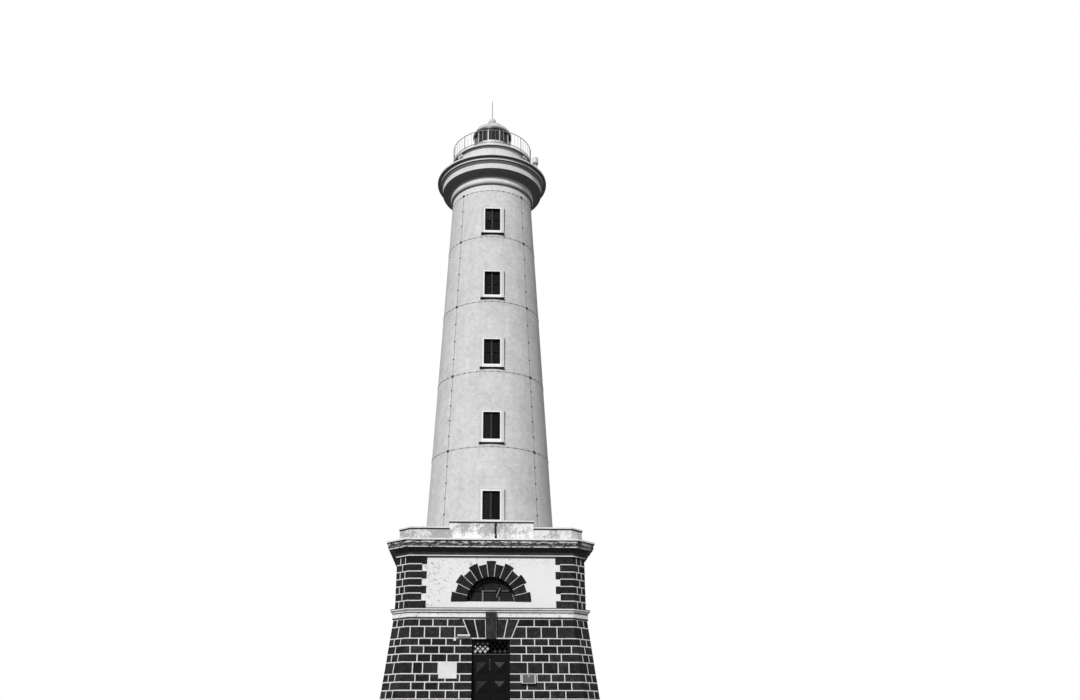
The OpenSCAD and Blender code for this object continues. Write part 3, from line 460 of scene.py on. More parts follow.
def plasterMaterial(name, values):
    shares = plasterShares
    newMaterial(name, 0.9, 0.2)
    base = values["base"]
    low, high = base * (1.0 - values["mottle"]), base * (1.0 + shares["lift"] * values["mottle"])
    colour = mottle("broad", low, base, high, size=values["broadScale"])
    colour = shade(colour, mottle("runs", 1.0 - values["runs"], 1.0, stretch=shares["runStretch"]))
    colour = shade(colour, mottle("clouds", 1.0 - values["clouds"], 1.0))
    colour = shade(colour, mottle("plaster grain", shares["grain"], 1.0))
    # rain stains, with painted shadows under the sills and right of the surrounds
    if "stainsAndShadows" in values:
        colour = cover(colour, times(windowStainsAndShadows(), values["stainsAndShadows"]), shares["stain"])
    if "specks" in values:
        colour = speckle(colour, values)
    # undersides of the render get painted shade
    return finishMaterial(paintShadeBelow(colour, shares["under"], base * shares["paintedShadeTone"]), "plaster")


# Old render on the attic: grey patches and specks, a black line of painted shadow under the coping, and the
# crack drawn as a black line of painted shade
def atticMaterial(name, values):
    newMaterial(name, 0.92, 0.15)
    base = values["base"]
    across, away, height = objectAxes()
    aside = maths("MINIMUM", maths("ABSOLUTE", across), maths("ABSOLUTE", away))
    beside = isAbove(aside, values["blockHalf"])
    wash = mottle("attic wash", base * values["wash"], base)
    colour = shade(wash, ramp(beside, [(0.0, 1.0), (1.0, values["beside"])]))
    drift = times(minus(noise(*noises["attic drift"]), 0.5), values["drift"])
    patches = plus(noise(*noises["attic patches"]), drift)
    patches = climb(patches, values["patchFrom"], values["patches"])
    colour = cover(colour, patches, base * values["patchTone"])
    colour = cover(colour, mottle("attic specks", 0.0, values["specks"]), base * values["speckTone"])
    # painted shadow under the coping of the low parts and of the raised block
    lines = highest(times(between(height, *values["lowShadowLine"]), beside), between(height, *values["highShadowLine"]))
    # the crack is painted black, as painted shade inside it
    waver = times(minus(noise(*noises["crack waver"]), 0.5), values["waver"])
    crack = times(between(plus(across, waver), *values["crack"]), isBelow(away, 0.0))
    amount = times(highest(lines, crack), values["lines"])
    return finishMaterial(cover(colour, amount, values["shadeLineTone"]), "attic")


# Split basalt: nearly black, each worked stone with its own tone from its tint
def darkStoneMaterial(name, values):
    newMaterial(name, 0.92, 0.12)
    colour = mottle("split stone", values["deep"], values["base"], values["light"])
    if "tints" in values:
        tint = addNode("Attribute", {}, attribute_name="tint")["Fac"]
        colour = shade(colour, ramp(tint, list(zip((0.0, 1.0), values["tints"]))))
    colour = cover(colour, mottle("chalk", 0.0, values["chalk"]), values["light"] * values["chalkTone"])
    return finishMaterial(colour, "split stone")


# Plain courses on the faces that carry no worked stones: reveals and the rooms inside
def coursedMaterial(name, values):
    newMaterial(name, 0.92, 0.12)
    stone = mottle("plain stone", values["deep"], values["light"])
    half = 0.5 * values["jointWidth"]
    stops = [(0.0, 0.0)]
    for line in values["lines"]:
        stops += [((line - half) / values["height"], 1.0), ((line + half) / values["height"], 0.0)]
    joints = ramp(maths("DIVIDE", objectAxes()["Z"], values["height"]), stops, "CONSTANT")
    return finishMaterial(cover(stone, joints, values["mortar"]), "plain stone")


# Cut pale stone, blackened by weather in patches, with painted shade on undersides
paleShares = {
    "tones": (0.84, 1.0, 1.08), "crust": (7.0, 0.72), "fade": 0.07, "crustTone": 0.12, "grain": 0.86,
    "paintedShadeTone": 0.1,
}


def paleStoneMaterial(name, values):
    shares = paleShares
    newMaterial(name, 0.88, 0.2)
    base = values["base"]
    colour = mottle("cut stone", *(base * share for share in shares["tones"]))
    crust = noise(values["crustScale"], *shares["crust"], values.get("crustStretch", evenly))
    start = values["crustFrom"]
    amount = climb(crust, (start, start + shares["fade"]), values["crust"])
    colour = cover(colour, amount, base * shares["crustTone"])
    colour = shade(colour, mottle("stone grain", shares["grain"], 1.0))
    return finishMaterial(paintShadeBelow(colour, values["under"], base * shares["paintedShadeTone"]), "cut stone")


# Paving in square slabs with dark joints, worn and stained
def pavingMaterial(name, values):
    newMaterial(name, 0.9, 0.15)
    base, pitch, joint = values["base"], values["pitch"], values["joint"]
    colour = mottle("paving", *(base * share for share in values["tones"]))
    colour = cover(colour, mottle("paving blots", 0.0, values["blots"]), base * values["blotTone"])
    shift = values["slabsAside"] * pitch + 0.5 * joint
    across, away, height = objectAxes()
    joints = highest(*(isBelow(maths("MODULO", plus(axis, shift), pitch), joint) for axis in (across, away)))
    colour = cover(colour, times(joints, values["joints"]), base * values["jointTone"])
    return finishMaterial(colour, "paving")


# The optic: dark prisms with two upright columns of painted highlight, beaded by the rings of prisms
def lensMaterial(name, values):
    newMaterial(name, 0.25, 0.5)
    across, away, height = objectAxes()
    # painted highlight: two upright columns where the sun glints on the prisms
    slim = times(between(across, *values["slim"]), values["slimShare"])
    highlightColumn = times(highest(between(across, *values["wide"]), slim), isBelow(away, 0.0))
    share = maths("DIVIDE", maths("MODULO", height, values["ring"]), values["ring"])
    paintedHighlight = times(highlightColumn, ramp(share, values["beads"]))
    return finishMaterial(cover(mottle("prism film", *values["dark"]), paintedHighlight, values["paintedHighlight"]))


# Surround stone: whiter beside each opening than at its head and outer rim, and painted shade, near black, on
# undersides such as under the sill
def surroundMaterial(name, values):
    newMaterial(name, 0.88, 0.03)
    across, away, height = objectAxes()
    head = between(aboveWindowFoot(height), *values["head"])
    rim = times(between(across, *values["rim"]), minus(1.0, head))
    colour = mixColours(rim, grey(values["base"]), grey(values["edge"]))
    colour = shade(colour, mottle("surround wash", values["wash"], 1.0))
    colour = shade(colour, mottle("stone grain", values["grain"], 1.0))
    return finishMaterial(paintShadeBelow(colour, values["under"], values["paintedShadeTone"]), "cut stone")


# Moulded stone whose tone and black crust change from band to band up the moulding; some dark bands are
# painted shadow lines, and undersides get painted shade
bandShares = {
    "wash": 0.8, "crust": (7.0, 0.72), "level": 0.75, "crustShare": 0.5, "sharp": 9.0, "deep": 0.012,
    "paintedShadeTone": 0.03,
}


def bandedMaterial(name, values):
    shares = bandShares
    newMaterial(name, 0.88, 0.15)
    high = values["height"]
    share = maths("DIVIDE", minus(objectAxes()["Z"], values["foot"]), high)
    tones = [(place / high, tone) for place, tone, crust in values["bands"]]
    crusts = [(place / high, crust) for place, tone, crust in values["bands"]]
    colour = shade(ramp(share, tones, "CONSTANT"), mottle("moulding wash", shares["wash"], 1.0))
    patches = minus(noise(values["scale"], *shares["crust"], values["stretch"]), shares["level"])
    black = times(ramp(share, crusts, "CONSTANT"), shares["crustShare"])
    amount = addNode("Clamp", {"Value": times(plus(patches, black), shares["sharp"])})["Result"]
    colour = mixColours(amount, colour, mottle("crust", shares["deep"], values["darkTone"]))
    return finishMaterial(paintShadeBelow(colour, values["under"], shares["paintedShadeTone"]), "moulding")


# Paint over metal or wood: even colour, worn lighter spots, faint brush grain
paintShares = {"tones": (0.86, 1.0, 1.1), "worn": 1.8, "wornLift": 0.03, "wornMost": 0.8}


def paintMaterial(name, base, roughness, specular, wear, stretch=evenly):
    shares = paintShares
    newMaterial(name, roughness, specular)
    colour = mottle("paint", *(base * share for share in shares["tones"]), stretch=stretch)
    worn = min(base * shares["worn"] + shares["wornLift"], shares["wornMost"])
    colour = cover(colour, mottle("wear", 0.0, wear, stretch=stretch), worn)
    return finishMaterial(colour, "paint", stretch)


# Paint with a band of painted shade between two heights
def paintWithShadeBand(name, paint, low, high, tone):
    paintMaterial(name, *paint)
    colour = shader.inputs["Base Color"].links[0].from_socket
    return finishMaterial(cover(colour, between(objectAxes()["Z"], low, high), tone))


# Door paint with painted light on the slopes of the panels that face one way
def litSlopePaint(name, paint, way, slopes, paintedSlopeLight):
    paintMaterial(name, *paint)
    colour = shader.inputs["Base Color"].links[0].from_socket
    normal = addNode("TexCoord", {})["Normal"]
    facing = addNode("VectorMath", {0: normal, 1: way}, operation="DOT_PRODUCT")["Value"]
    amount = times(climb(facing, slopes), mottle("paintedSlopeLight", 0.6, 1.0))
    return finishMaterial(cover(colour, amount, paintedSlopeLight))


# Thin panes: partly clear, with a faint film of salt and dust
def glassMaterial(name, tone, opacity, roughness, specular):
    newMaterial(name, roughness, specular)
    shader.inputs["Alpha"].default_value = opacity
    return finishMaterial(mottle("pane film", tone * 0.7, tone))


# Heights of the beds of the lower storey, from the string course down
courseLines = [4.07, 3.79, 3.395, 3.15, 2.88, 2.61, 2.23, 1.967, 1.703, 1.433, 1.05, 0.79, 0.53, 0.265, 0.0]

shaftValues = {"base": 0.795, "broadScale": 1.1, "mottle": 0.08, "runs": 0.07, "clouds": 0.22, "stainsAndShadows": 0.26}
wallValues = {
    "base": 0.93, "broadScale": 0.9, "mottle": 0.03, "runs": 0.03, "clouds": 0.02,
    "specks": 0.5, "speckLean": -0.09, "speckRise": 0.1, "speckMiddle": 5.4, "speckFrom": (0.42, 0.56),
    "speckBend": 0.6, "speckTone": 0.18,
}
drumValues = {"base": 0.82, "broadScale": 1.4, "mottle": 0.06, "runs": 0.12, "clouds": 0.05}
atticValues = {
    "base": 0.93, "patches": 0.8, "specks": 0.85, "blockHalf": 1.53, "beside": 0.83, "wash": 0.82,
    "drift": 0.9, "patchFrom": (0.44, 0.56), "patchTone": 0.36, "speckTone": 0.12, "lines": 0.93,
    # the two lines under the coping and the crack are painted shade
    "shadeLineTone": 0.012, "lowShadowLine": (7.19, 7.246), "highShadowLine": (7.425, 7.481), "crack": (0.111, 0.189),
    "waver": 0.12,
}
basaltValues = {"deep": 0.008, "base": 0.02, "light": 0.046, "chalk": 0.35, "chalkTone": 3.0}
workedValues = {**basaltValues, "tints": (0.62, 1.5)}
dressedValues = {"deep": 0.016, "base": 0.034, "light": 0.068, "chalk": 0.4, "chalkTone": 3.0}
courseValues = {
    "deep": 0.012, "light": 0.04, "mortar": 0.55, "height": 4.2, "jointWidth": 0.035,
    "lines": courseLines[-2:0:-1],
}
# Bands as (height above the foot, tone, share under black crust); in the string course the lowest band is a
# painted shadow line under the course, the dark band at 0.17 is painted shade under the quarter moulding,
# with crust, and the top band is a black line along the top edge
stringValues = {
    "foot": 4.07, "height": 0.352, "scale": 6.5, "stretch": (0.8, 0.8, 2.0), "darkTone": 0.1, "under": 0.1,
    "bands": [
        (0.0, 0.02, 0.9), (0.04, 0.93, 0.36), (0.125, 0.88, 0.46), (0.17, 0.4, 0.84),
        (0.2105, 0.98, 0.3), (0.318, 0.02, 0.9),
    ],
}
# In the cornice the black bands at the foot, at 0.061 at the foot of the cove and at 0.51 under the top slab
# are painted shadow lines, and the dark cove from 0.085 is painted shade with crust
corniceValues = {
    "foot": 6.2, "height": 0.602, "scale": 6.0, "stretch": (0.8, 0.8, 2.2), "darkTone": 0.08, "under": 0.75,
    "bands": [
        (0.0, 0.02, 0.9), (0.03, 0.95, 0.2), (0.061, 0.02, 0.95), (0.085, 0.16, 0.85), (0.3005, 0.95, 0.5),
        (0.3605, 0.66, 0.78), (0.45, 0.8, 0.62), (0.51, 0.03, 0.9), (0.5405, 0.9, 0.3), (0.6005, 0.4, 0.6),
    ],
}
crownValues = {
    "base": 0.84, "crustScale": 2.0, "crustStretch": (1.0, 1.0, 1.6), "crustFrom": 0.72, "crust": 0.4,
    "under": 0.95,
}
copingValues = {"base": 0.84, "crustScale": 6.0, "crustFrom": 0.6, "crust": 0.8, "under": 0.95}
mortarLimeValues = {"base": 0.8, "crustScale": 9.0, "crustFrom": 0.64, "crust": 0.5, "under": 0.4}
surroundValues = {
    "base": 0.7, "edge": 0.97, "rim": (-0.395, 0.382), "head": (1.155, 1.3), "wash": 0.88, "grain": 0.9,
    "under": 0.98, "paintedShadeTone": 0.006,
}
pavingValues = {
    "base": 0.4, "pitch": 0.62, "joint": 0.014, "slabsAside": 60.0, "tones": (0.75, 1.1), "blots": 0.5,
    "blotTone": 0.35, "joints": 0.75, "jointTone": 0.25,
}
lensValues = {
    "wide": (-0.16, -0.1), "slim": (-0.26, -0.215), "slimShare": 0.5, "ring": 0.075, "dark": (0.04, 0.08),
    "paintedHighlight": 0.9, "beads": [(0.0, 0.25), (0.3, 1.0), (0.7, 1.0), (1.0, 0.25)],
}

shaftPlaster = plasterMaterial("shaft limewash", shaftValues)
wallPlaster = plasterMaterial("wall limewash", wallValues)
drumPlaster = plasterMaterial("drum limewash", drumValues)
atticPlaster = atticMaterial("attic render", atticValues)
basalt = darkStoneMaterial("split basalt", workedValues)
basaltPlain = darkStoneMaterial("plain basalt", basaltValues)
basaltDressed = darkStoneMaterial("dressed basalt", dressedValues)
coursedWall = coursedMaterial("coursed basalt", courseValues)
stringStone = bandedMaterial("string course stone", stringValues)
corniceStone = bandedMaterial("cornice stone", corniceValues)
crownStone = paleStoneMaterial("gallery stone", crownValues)
copingStone = paleStoneMaterial("coping stone", copingValues)
mortarLime = paleStoneMaterial("lime mortar", mortarLimeValues)
surroundStone = surroundMaterial("window surround stone", surroundValues)
floorStone = pavingMaterial("floor stone", pavingValues)
lensGlass = lensMaterial("lens glass", lensValues)

# Paints as (tone, roughness, shine, wear, stretch of the grain)
doorGrain = (5.0, 5.0, 0.8)
leafPaint = (0.007, 0.5, 0.05, 0.1, doorGrain)
metalPaint = (0.66, 0.4, 0.4, 0.1)
paintValues = {
    "window frame paint": (0.006, 0.6, 0.05, 0.1),
    "pale worn paint": (0.55, 0.6, 0.2, 0.3),
    # shutter paint also covers the board behind the slats, darker than the slat paint as painted shade in the
    # gaps
    "shutter paint": (0.008, 0.65, 0.04, 0.35, (6.0, 6.0, 0.7)),
    "casement paint": (0.012, 0.6, 0.05, 0.4),
    "meeting stile paint": (0.036, 0.6, 0.12, 0.4),
    "door paint": (0.008, 0.5, 0.05, 0.1, doorGrain),
    "lantern paint": metalPaint,
    "railing paint": (0.22, 0.5, 0.4, 0.3),
    "rod metal": (0.06, 0.5, 0.4, 0.3),
    "conductor tape": (0.36, 0.5, 0.4, 0.4),
    "conductor clips": (0.03, 0.6, 0.3, 0.2),
    "fitting paint": (0.93, 0.45, 0.4, 0.0),
    "chain metal": (0.17, 0.5, 0.3, 0.3),
    "meter box enamel": (0.11, 0.5, 0.2, 0.9),
    "gallery lamp paint": (0.7, 0.4, 0.4, 0.1),
    "board paint": (0.76, 0.6, 0.25, 0.04),
    "grille iron": (0.012, 0.5, 0.05, 0.3),
    "slat paint": (0.026, 0.6, 0.12, 0.5),
    "boarded pane paint": (0.02, 0.7, 0.1, 0.3),
    "bead paint": (0.008, 0.5, 0.05, 0.3, doorGrain),
    # dark glass, also used as painted shade on the upper left lozenges
    "dark glass lozenges": (0.05, 0.5, 0.2, 0.4),
    "worn ledge paint": (0.1, 0.6, 0.1, 0.9, (0.3, 1.0, 1.0)),
    "pale sheet": (0.6, 0.6, 0.2, 0.2),
    "batten wood": (0.24, 0.7, 0.1, 0.4),
    "rim paint": (0.75, 0.5, 0.3, 0.0),
}
paints = {name: paintMaterial(name, *values) for name, values in paintValues.items()}
# painted light on the panels: on the left leaf the slopes facing up and left, on the right leaf those facing
# up
leftLeafPaint = litSlopePaint("left leaf paint", leafPaint, (-0.7, 0.0, 0.7), (0.03, 0.1), 0.026)
rightLeafPaint = litSlopePaint("right leaf paint", leafPaint, (0.0, 0.0, 1.0), (0.06, 0.14), 0.062)
# painted shadow of the eave across the tops of the glazing bars, and painted shade on the roof's eave
glazingPaint = paintWithShadeBand("glazing bar paint", metalPaint, 26.75, 26.81, 0.02)
roofPaint = paintWithShadeBand("roof paint", (0.55, 0.4, 0.5, 0.15), 26.79, 26.9, 0.1)
windowGlass = glassMaterial("window glass", 0.012, 0.7, 0.35, 0.05)
lunetteGlass = glassMaterial("lunette glass", 0.03, 0.7, 0.35, 0.06)
lanternGlass = glassMaterial("lantern glass", 0.02, 0.77, 0.12, 0.3)

nodeMaterials = {
    coursedWall: "front_wall_left front_wall_right front_wall_over_door left_wall right_wall back_wall",
    basaltPlain: "door_threshold door_arch corner_quoins lunette_arches",
    basaltDressed: "door_keystone",
    stringStone: "string_course",
    corniceStone: "base_cornice",
    copingStone: "attic_coping",
    floorStone: "ground_floor first_floor terrace",
    wallPlaster: "front_upper_wall left_upper_wall right_upper_wall back_upper_wall",
    atticPlaster: "attic_parapet",
    shaftPlaster: "shaft_lift_1 shaft_lift_2 shaft_lift_3 shaft_lift_4 shaft_lift_5",
    drumPlaster: "lantern_drum",
    surroundStone: "window_surrounds",
    crownStone: "gallery_cornice slab_brackets gallery_slab upper_slab",
    paints["window frame paint"]: "lunette_frames",
    paints["shutter paint"]: "window_shutters",
    paints["casement paint"]: "window_casements",
    paints["door paint"]: "door_frame",
    leftLeafPaint: "door_leaf_left",
    rightLeafPaint: "door_leaf_right",
    paints["lantern paint"]: "lantern_wall lens_pedestal",
    glazingPaint: "lantern_frame",
    roofPaint: "lantern_roof",
    paints["railing paint"]: "gallery_railing",
    paints["rod metal"]: "lightning_rod",
    paints["conductor tape"]: "lightning_conductors",
    paints["meter box enamel"]: "meter_box",
    paints["fitting paint"]: "wall_lamp",
    paints["gallery lamp paint"]: "gallery_lamp roof_vent",
    paints["board paint"]: "notice_board",
    paints["grille iron"]: "transom_grille",
    windowGlass: "window_glass",
    lunetteGlass: "lunette_glass",
    lanternGlass: "lantern_glass",
    lensGlass: "lens",
}
for finish, names in nodeMaterials.items():
    for name in names.split():
        nodes[name].data.materials.clear()
        nodes[name].data.materials.append(finish)
print("materials on", sum(len(names.split()) for names in nodeMaterials.values()), "nodes")


# Worked stones and raised mortar, laid on the faces of the base

storeys = {
    "lower": {"half": 3.925, "lean": 0.12, "cut": 0.65 / 3.925},
    "upper": {"half": 3.4, "lean": 0.0, "cut": 0.47 / 3.4},
}
stoneValues = {
    "length": 0.5, "height": 0.27, "edge": 0.016, "side": 0.004, "proud": 0.009, "rough": 0.0022,
    "gap": 0.009,
}
mortarValues = {
    "width": 0.042, "rightShare": 0.86, "bed": 6.0, "joint": 0.3, "edge": 0.010, "side": 0.006,
    "proud": 0.0115, "rough": 0.0006,
}
groundLimit = 0.112  # near the ground nothing stands out further than this share of its height
turns = (0, 90, 180, 270)
stones = []
mortar = []


# One of the eight upright faces of a storey, by its turn from the front
def wallFace(storey, turn):
    values = storeys[storey]
    corner = turn % 90 != 0
    reach = (1.0 - 0.5 * values["cut"]) * math.sqrt(2.0) if corner else 1.0
    angle = math.radians(turn - 90)
    out = np.array([math.cos(angle), math.sin(angle)])
    return {
        "out": out, "along": np.array([-out[1], out[0]]),
        "distance": values["half"] * reach, "lean": values["lean"] * reach,
        "half": values["half"], "halfLean": values["lean"],
        "widthShare": values["cut"] / math.sqrt(2.0) if corner else 1.0 - values["cut"],
    }


def faceEdge(face, z):
    return (face["half"] - face["halfLean"] * z) * face["widthShare"]


# Points given as place along the face, height, and distance out of it
def facePoints(face, s, z, w):
    slope = math.atan(face["lean"])
    reach = face["distance"] - face["lean"] * z + w * math.cos(slope)
    x = face["out"][0] * reach + face["along"][0] * s
    y = face["out"][1] * reach + face["along"][1] * s
    return np.stack([x, y, z + w * math.sin(slope)], axis=1)


# A slab that stands on the wall: a grid drawn out from the wall, its rim worked back
def makeSlab(length, height, across, up, values):
    deselectAll()
    bpy.ops.mesh.primitive_grid_add(x_subdivisions=across, y_subdivisions=up, size=1.0)
    slab = bpy.context.object
    slab.scale = (length, height, 1.0)
    slab.location = (0.5 * length, 0.5 * height, 0.0)
    applyPlace(slab)
    openForEdit(slab)
    drawOut((0.0, 0.0, values["side"]))
    bpy.ops.mesh.inset(thickness=values["edge"], depth=values["proud"] - values["side"])
    closeEdit()
    points = np.empty(3 * len(slab.data.vertices))
    slab.data.vertices.foreach_get("co", points)
    return {"object": slab, "points": points.reshape(-1, 3), "length": length, "height": height, **values}


# Stretches the middle of a slab to a new size and leaves its worked rim as wide as it was
def spread(places, length, size, edge):
    rim = min(edge, 0.4 * size) / size
    return np.interp(places, [0.0, edge, length - edge, length], [0.0, rim, 1.0 - rim, 1.0])[:, None]


# Copies a slab onto a quad of the face; corners run from lower left to the right and round
def laySlab(slab, face, corners, wobble=0.0):
    piece = copyPiece(slab["object"])
    quad = np.array(corners)
    points = slab["points"]
    width = 0.5 * (np.linalg.norm(quad[1] - quad[0]) + np.linalg.norm(quad[2] - quad[3]))
    height = 0.5 * (np.linalg.norm(quad[3] - quad[0]) + np.linalg.norm(quad[2] - quad[1]))
    u = spread(points[:, 0], slab["length"], width, slab["edge"])
    v = spread(points[:, 1], slab["height"], height, slab["edge"])
    place = quad[0] * (1 - u) * (1 - v) + quad[1] * u * (1 - v) + quad[2] * u * v + quad[3] * (1 - u) * v
    w = points[:, 2].copy()
    top = w > 0.9 * slab["proud"]
    w[top] += rough.normal(0.0, wobble, top.sum()).clip(-2 * wobble, 2 * wobble)
    z = place[:, 1]
    w = np.minimum(w, groundLimit * np.maximum(z, 0.0))
    piece.data.vertices.foreach_set("co", facePoints(face, place[:, 0], z, w).ravel())
    tint = piece.data.attributes.new("tint", "FLOAT", "POINT")
    tint.data.foreach_set("value", np.full(len(points), rough.uniform(0.0, 1.0)))
    return piece


stoneSlab = makeSlab(stoneValues["length"], stoneValues["height"], 4, 2, stoneValues)
longMortar = makeSlab(mortarValues["bed"], mortarValues["width"], 14, 1, mortarValues)
shortMortar = makeSlab(mortarValues["width"], mortarValues["joint"], 1, 3, mortarValues)


# Corners between two ends, each given as (place at the bottom, place at the top)
def quadCorners(left, right, bottom, top):
    return [(left[0], bottom), (right[0], bottom), (right[1], top), (left[1], top)]


def layStone(face, corners, gap=stoneValues["gap"]):
    (s0, z0), (s1, z1), (s2, z2), (s3, z3) = corners
    inner = [(s0 + gap, z0 + gap), (s1 - gap, z1 + gap), (s2 - gap, z2 - gap), (s3 + gap, z3 - gap)]
    stones.append(laySlab(stoneSlab, face, inner, stoneValues["rough"]))


# The mortar is worn thinner on the right half of each face
def mortarHalf(s):
    return 0.5 * mortarValues["width"] * (mortarValues["rightShare"] if s > 0.05 else 1.0)


def layJoint(face, ends, bottom, top):
    half = mortarHalf(ends[0])
    corners = quadCorners((ends[0] - half, ends[1] - half), (ends[0] + half, ends[1] + half), bottom, top)
    mortar.append(laySlab(shortMortar, face, corners))


def layBed(face, left, right, z):
    half = mortarHalf(0.5 * (left + right))
    corners = quadCorners((left, left), (right, right), z - half, z + half)
    mortar.append(laySlab(longMortar, face, corners, mortarValues["rough"]))


def finishStones(name):
    count = len(stones)
    finishPiece(joinPieces(stones, name + "_stones"), basalt)
    finishPiece(joinPieces(mortar, name + "_mortar"), mortarLime)
    stones.clear()
    mortar.clear()
    return count


# Upright joints of each course, from the string course down, as places from the middle of the front
frontJoints = [
    [-2.50, -2.02, -1.51, 1.51, 2.04, 2.49],
    [-2.80, -2.30, -1.77, -1.25, 1.23, 1.75, 2.30],
    [-2.49, -2.05, -1.55, -1.05, 1.05, 1.51, 1.99, 2.45],
    [-2.77, -2.31, -1.78, -1.25, 1.22, 1.75, 2.29, 2.78],
    [-2.52, -2.05, -1.51, -1.06, 1.05, 1.49, 2.00, 2.42],
    [-2.66, -2.32, -1.79, -1.25, 1.25, 1.78, 2.30, 2.67],
    [-2.56, -2.07, -1.55, -1.06, 1.02, 1.57, 2.05, 2.51],
    [-2.69, -2.23, -1.76, -1.25, 1.23, 1.82, 2.27, 2.74],
    [-2.51, -2.06, -1.52, -1.07, 1.02, 1.45, 2.00, 2.53],
    [-2.78, -2.28, -1.80, -1.24, 1.24, 1.77, 2.31, 2.80],
    [-2.54, -2.04, -1.50, -1.05, 1.06, 1.52, 2.02, 2.49],
    [-2.82, -2.29, -1.76, -1.26, 1.22, 1.79, 2.28, 2.83],
    [-2.52, -2.03, -1.53, -1.04, 1.04, 1.50, 2.05, 2.52],
    [-2.84, -2.30, -1.78, -1.23, 1.25, 1.75, 2.33, 2.85],
]
wallStoneValues = {
    "doorHalf": 0.66, "doorGap": 0.009, "overhang": 0.012, "groundOverhang": 0.002,
    "middle": ([-0.52, 0.0, 0.52], [-0.78, -0.26, 0.26, 0.78]), "topMiddle": [-1.05, 1.05], "jitter": 0.05,
    "cornerJoints": [-0.17, 0.17], "cornerJitter": 0.04, "bedEnd": 0.006, "topBed": 0.024,
}
archValues = {
    "foot": [0.175, 0.437, 0.699], "head": [0.187, 0.589, 0.991], "levels": (3.38, 4.07), "bed": 0.018,
}


# How far the flat arch reaches from the middle of the door at a height
def archEdge(z):
    low, high = archValues["levels"]
    foot, head = archValues["foot"][-1], archValues["head"][-1]
    return foot + (z - low) / (high - low) * (head - foot)


def mirrored(ends):
    return (-ends[0], -ends[1])


# Fills one course between two slanting ends, with upright joints between
def layCourse(face, bottom, top, start, end, joints):
    places = [start] + [(s, s) for s in joints] + [end]
    for left, right in zip(places[:-1], places[1:]):
        layStone(face, quadCorners(left, right, bottom, top))
    for s in joints:
        layJoint(face, (s, s), bottom, top)


# The ends of a course, drawn past the corner of the wall; at the ground they end flush
def courseEnds(face, bottom, top):
    values = wallStoneValues
    return tuple(faceEdge(face, z) + values["overhang" if z > 0 else "groundOverhang"] for z in (bottom, top))


def laySide(turn, name):
    values = wallStoneValues
    face = wallFace("lower", turn)
    corner = wallFace("lower", turn + 45)
    for k, (top, bottom) in enumerate(zip(courseLines[:-1], courseLines[1:])):
        ends = courseEnds(face, bottom, top)
        joints = frontJoints[k]
        if turn == 0:
            inner = (values["doorHalf"] + values["doorGap"],) * 2
            if k < 2:  # beside the flat arch
                inner = (archEdge(bottom), archEdge(top))
            layCourse(face, bottom, top, mirrored(ends), mirrored(inner), [s for s in joints if s < 0])
            layCourse(face, bottom, top, inner, ends, [s for s in joints if s > 0])
        else:
            joints = values["middle"][k % 2] + joints + (values["topMiddle"] if k == 0 else [])
            joints = sorted(s + random.uniform(-values["jitter"], values["jitter"]) for s in joints)
            layCourse(face, bottom, top, mirrored(ends), ends, joints)
        ends = courseEnds(corner, bottom, top)
        joints = values["cornerJoints"]
        if k % 2:
            joints = [random.uniform(-values["cornerJitter"], values["cornerJitter"])]
        layCourse(corner, bottom, top, mirrored(ends), ends, joints)
        # the topmost bed shows as a thin line under the string course
        line = top if k > 0 else top - values["topBed"]
        edge = faceEdge(face, line) + values["bedEnd"]
        if turn == 0:
            start = (archValues["head"][0], archEdge(line), values["doorHalf"])[min(k, 2)]
            layBed(face, -edge, -start, line)
            layBed(face, start, edge, line)
        else:
            layBed(face, -edge, edge, line)
        edge = faceEdge(corner, line) + values["bedEnd"]
        layBed(corner, -edge, edge, line)
    if turn == 0:
        layFlatArch(face)
    return finishStones(name)


# Two wedges each side of the keystone, with leaning joints
def layFlatArch(face):
    low, high = archValues["levels"]
    joints = list(zip(archValues["foot"], archValues["head"]))
    for side in (-1, 1):
        leaning = [(side * foot, side * head) for foot, head in joints]
        for ends in leaning:
            layJoint(face, ends, low, high)
        for pair in zip(leaning[:-1], leaning[1:]):
            layStone(face, quadCorners(*sorted(pair), low, high))
    reach = archValues["foot"][-1]
    layBed(face, -reach, reach, low + archValues["bed"])


# Toothed quoins on the four cut corners of the upper storey
quoinValues = {
    "foot": 4.42, "courses": 7, "height": 1.78, "reach": (2.3, 2.465), "edge": 0.003,
    "joints": [-0.13, 0.13], "jitter": 0.03,
}


def layQuoins():
    values = quoinValues
    step = values["height"] / values["courses"]
    for turn in turns:
        face = wallFace("upper", turn)
        corner = wallFace("upper", turn + 45)
        edge = faceEdge(face, 0.0) + values["edge"]
        cornerEdge = faceEdge(corner, 0.0) + values["edge"]
        for k in range(values["courses"]):
            bottom = values["foot"] + k * step
            top = bottom + step
            for side in (-1, 1):
                left, right = sorted([side * values["reach"][k % 2], side * edge])
                layStone(face, quadCorners((left, left), (right, right), bottom, top))
            joints = values["joints"]
            if k % 2:
                joints = [random.uniform(-values["jitter"], values["jitter"])]
            layCourse(corner, bottom, top, (-cornerEdge, -cornerEdge), (cornerEdge, cornerEdge), joints)
            if k > 0:
                for side in (-1, 1):
                    layBed(face, *sorted([side * values["reach"][1], side * edge]), bottom)
                layBed(corner, -cornerEdge, cornerEdge, bottom)
    return finishStones("quoin")


# Thirteen arch stones round each half-round window
lunetteValues = {
    "stones": 13, "middle": 4.65, "inner": 0.865, "outer": (1.42, 1.315), "joint": 0.022, "gap": 0.003,
}


